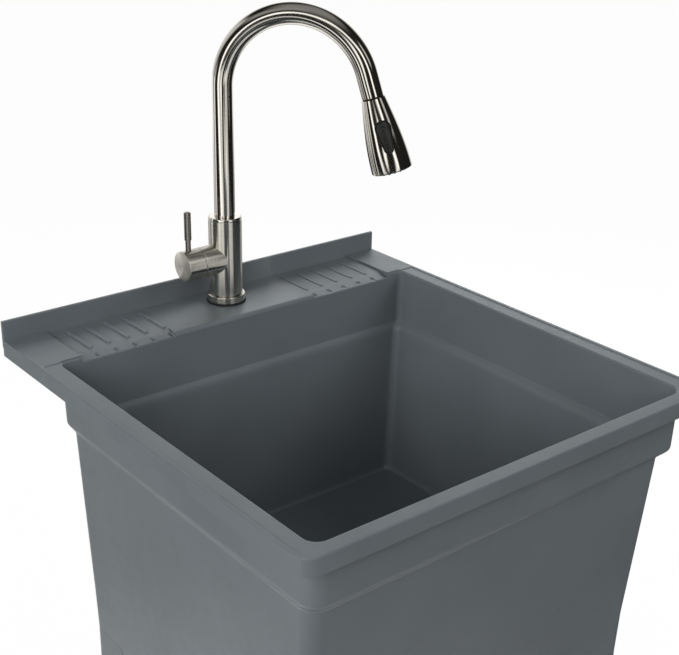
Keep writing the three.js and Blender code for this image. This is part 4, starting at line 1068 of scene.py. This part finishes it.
# Degrees round from the right side and up from level, and the power; all stand as far from the sink.
lamps = {
    "left": (180, 24, 40), "leftRear": (135, 8, 10), "leftFront": (225, 24, 28),
    "leftFrontLow": (225, 8, 6.5), "rightFront": (315, 24, 18), "rightFrontHigh": (315, 42, 20),
    "rightRear": (45, 24, 104),
}
lampSize, lampAway = 1.4, 2.9
lampAim = Vector((0, 0, 0.8))


# The way out from the middle, in degrees round from the right side and up from level.
def towards(around, up=0.0):
    around, up = math.radians(around), math.radians(up)
    return Vector((math.cos(around) * math.cos(up), math.sin(around) * math.cos(up), math.sin(up)))


# A lamp stands out along the given way and shines back along it.
def areaLamp(name, place, way, wide, high, watts, *hiddenFrom):
    data = bpy.data.lights.new(name, "AREA")
    data.shape = "RECTANGLE"
    data.size, data.size_y, data.energy = wide, high, watts
    lamp = placed(name, data)
    lamp.location = place
    lamp.rotation_euler = (-way).to_track_quat("-Z", "Y").to_euler()
    hide(lamp, *hiddenFrom)
    return data


def makeLamps():
    for name, (around, up, watts) in lamps.items():
        way = towards(around, up)
        areaLamp(name, lampAim + lampAway * way, way, lampSize, lampSize, watts, "glossy")


# A dome round the tap that only gloss meets. Its strips of light are given as seen from the tap: degrees to
# the right and up from the way the dome faces, for one end and the other, half width and strength.
dome = {"radius": 1.35, "middle": (0.0, 0.15, 1.05), "across": 240, "up": 120, "facing": -129, "lift": -8,
        "dark": 0.018, "edge": 1.5, "back": 0.9, "backLeft": (92, 30), "backRight": (132, 14),
        "backTop": (38, 12), "bandAt": -21, "band": 5, "bandEdge": 6}
strips = [
    (-45, -5, -50, 14, 6, 1.9), (-38, -11, -45, -5, 6, 1.6), (-18, -17, -34, -13, 6, 0.8),
    (-50, 14, -33, 32, 6, 1.9), (-33, 32, 0, 45, 6, 1.6), (0, 45, 30, 36, 6, 1.6), (30, 36, 44, 14, 6, 2.0),
    (44, 14, 34, 4, 5, 1.4), (14, -7, 34, -13, 5, 0.9),
    (-12, 4, -6, 18, 6, 1.8), (60, 52, 72, 36, 6, 0.8), (68, -3, 72, 2, 4, 0.3),
    (-96, -34, -90, 0, 9, 0.6), (-110, 40, -95, 60, 16, 0.8), (-20, 90, 20, 100, 30, 0.3),
    (-60, 60, -20, 75, 14, 0.35), (-100, -40, -140, -70, 12, 0.5),
]


# Each strip fades at its edges. Behind the tap the dome is pale, with a dark band across it.
def domeTone(direction):
    axis = np.array(towards(dome["facing"], dome["lift"]))
    right = np.cross([0, 0, 1], axis)
    right /= np.linalg.norm(right)
    up = np.cross(axis, right)
    away = np.degrees(np.arccos(np.clip(direction @ axis, -1, 1)))
    around = np.arctan2(direction @ up, direction @ right)
    spot = np.stack([away * np.cos(around), away * np.sin(around)], -1)
    tone = np.full(len(direction), dome["dark"])
    for x0, y0, x1, y1, width, strength in strips:
        start, way = np.array([x0, y0]), np.array([x1 - x0, y1 - y0])
        part = np.clip((spot - start) @ way / (way @ way), 0, 1)
        gap = np.linalg.norm(spot - start - part[:, None] * way, axis=1)
        tone = np.maximum(tone, strength * np.clip(dome["edge"] - gap / width, 0, 1))
    heading = np.degrees(np.arctan2(direction[:, 1], direction[:, 0]))
    height = np.degrees(np.arcsin(np.clip(direction[:, 2], -1, 1)))
    aside = (heading - dome["facing"] + 540) % 360 - 180
    left, right, top = dome["backLeft"], dome["backRight"], dome["backTop"]
    wide = np.clip(np.maximum((-aside - left[0]) / left[1], (aside - right[0]) / right[1]), 0, 1)
    low = np.clip((top[0] - height) / top[1], 0, 1)
    band = np.clip((np.abs(height - dome["bandAt"]) - dome["band"]) / dome["bandEdge"], 0, 1)
    return np.maximum(tone, dome["back"] * wide * low * band)


def makeDome():
    across = np.linspace(0, 2 * math.pi, dome["across"], endpoint=False)
    up = np.linspace(-math.pi / 2, math.pi / 2, dome["up"])[:, None]
    ways = [np.cos(up) * np.cos(across), np.cos(up) * np.sin(across), np.sin(up) + 0 * across]
    ways = np.stack(ways, -1)
    points = ways * dome["radius"] + dome["middle"]
    mesh = bpy.data.meshes.new("dome")
    mesh.from_pydata(points.reshape(-1, 3).tolist(), [], quadsBetween(points)[0].reshape(-1, 4).tolist())
    tone = mesh.attributes.new("tone", "FLOAT", "POINT")
    tone.data.foreach_set("value", domeTone(ways.reshape(-1, 3)))
    made = placed("dome", mesh)
    material = bpy.data.materials.new("domeLight")
    tree = emptied(material)
    tone = addNode(tree, "ShaderNodeAttribute", attribute_name="tone").outputs["Fac"]
    glow = addNode(tree, "ShaderNodeEmission", {"Color": (*warmWhite, 1), "Strength": tone}).outputs[0]
    clear = addNode(tree, "ShaderNodeBsdfTransparent").outputs[0]
    outside = addNode(tree, "ShaderNodeNewGeometry").outputs["Backfacing"]
    addNode(tree, "ShaderNodeOutputMaterial", {"Surface": mixed(tree, outside, glow, clear)})
    mesh.materials.append(material)
    hide(made, "camera", "diffuse", "shadow", "transmission", "volume_scatter")


# Upright strip lamps that only gloss meets stand round the tap and face it: degrees to the right of the way
# the dome faces, degrees wide, and strength.
stripLamps = {"away": 0.11, "low": 0.004, "high": 0.3}
columns = [(-173, 22, 0.45), (-128, 36, 0.35), (-83.5, 9, 0.7), (-18, 32, 0.65), (42, 24, 0.6),
           (138, 30, 0.3), (176, 16, 0.45)]


def makeStripLamps():
    d = stripLamps
    height = d["high"] - d["low"]
    for aside, degrees, strength in columns:
        way = towards(dome["facing"] + aside)
        wide = 2 * d["away"] * math.tan(math.radians(degrees / 2))
        place = atTap.translation + d["away"] * way + Vector((0, 0, d["low"] + height / 2))
        data = areaLamp("strip", place, way, wide, height, 4 * strength * wide * height,
                        "camera", "diffuse", "transmission", "volume_scatter")
        data.color = warmWhite


makeWorld()
makeFloor()
makeLamps()
makeDome()
makeStripLamps()
bpy.context.scene.view_settings.view_transform = "Standard"
print("studio made")
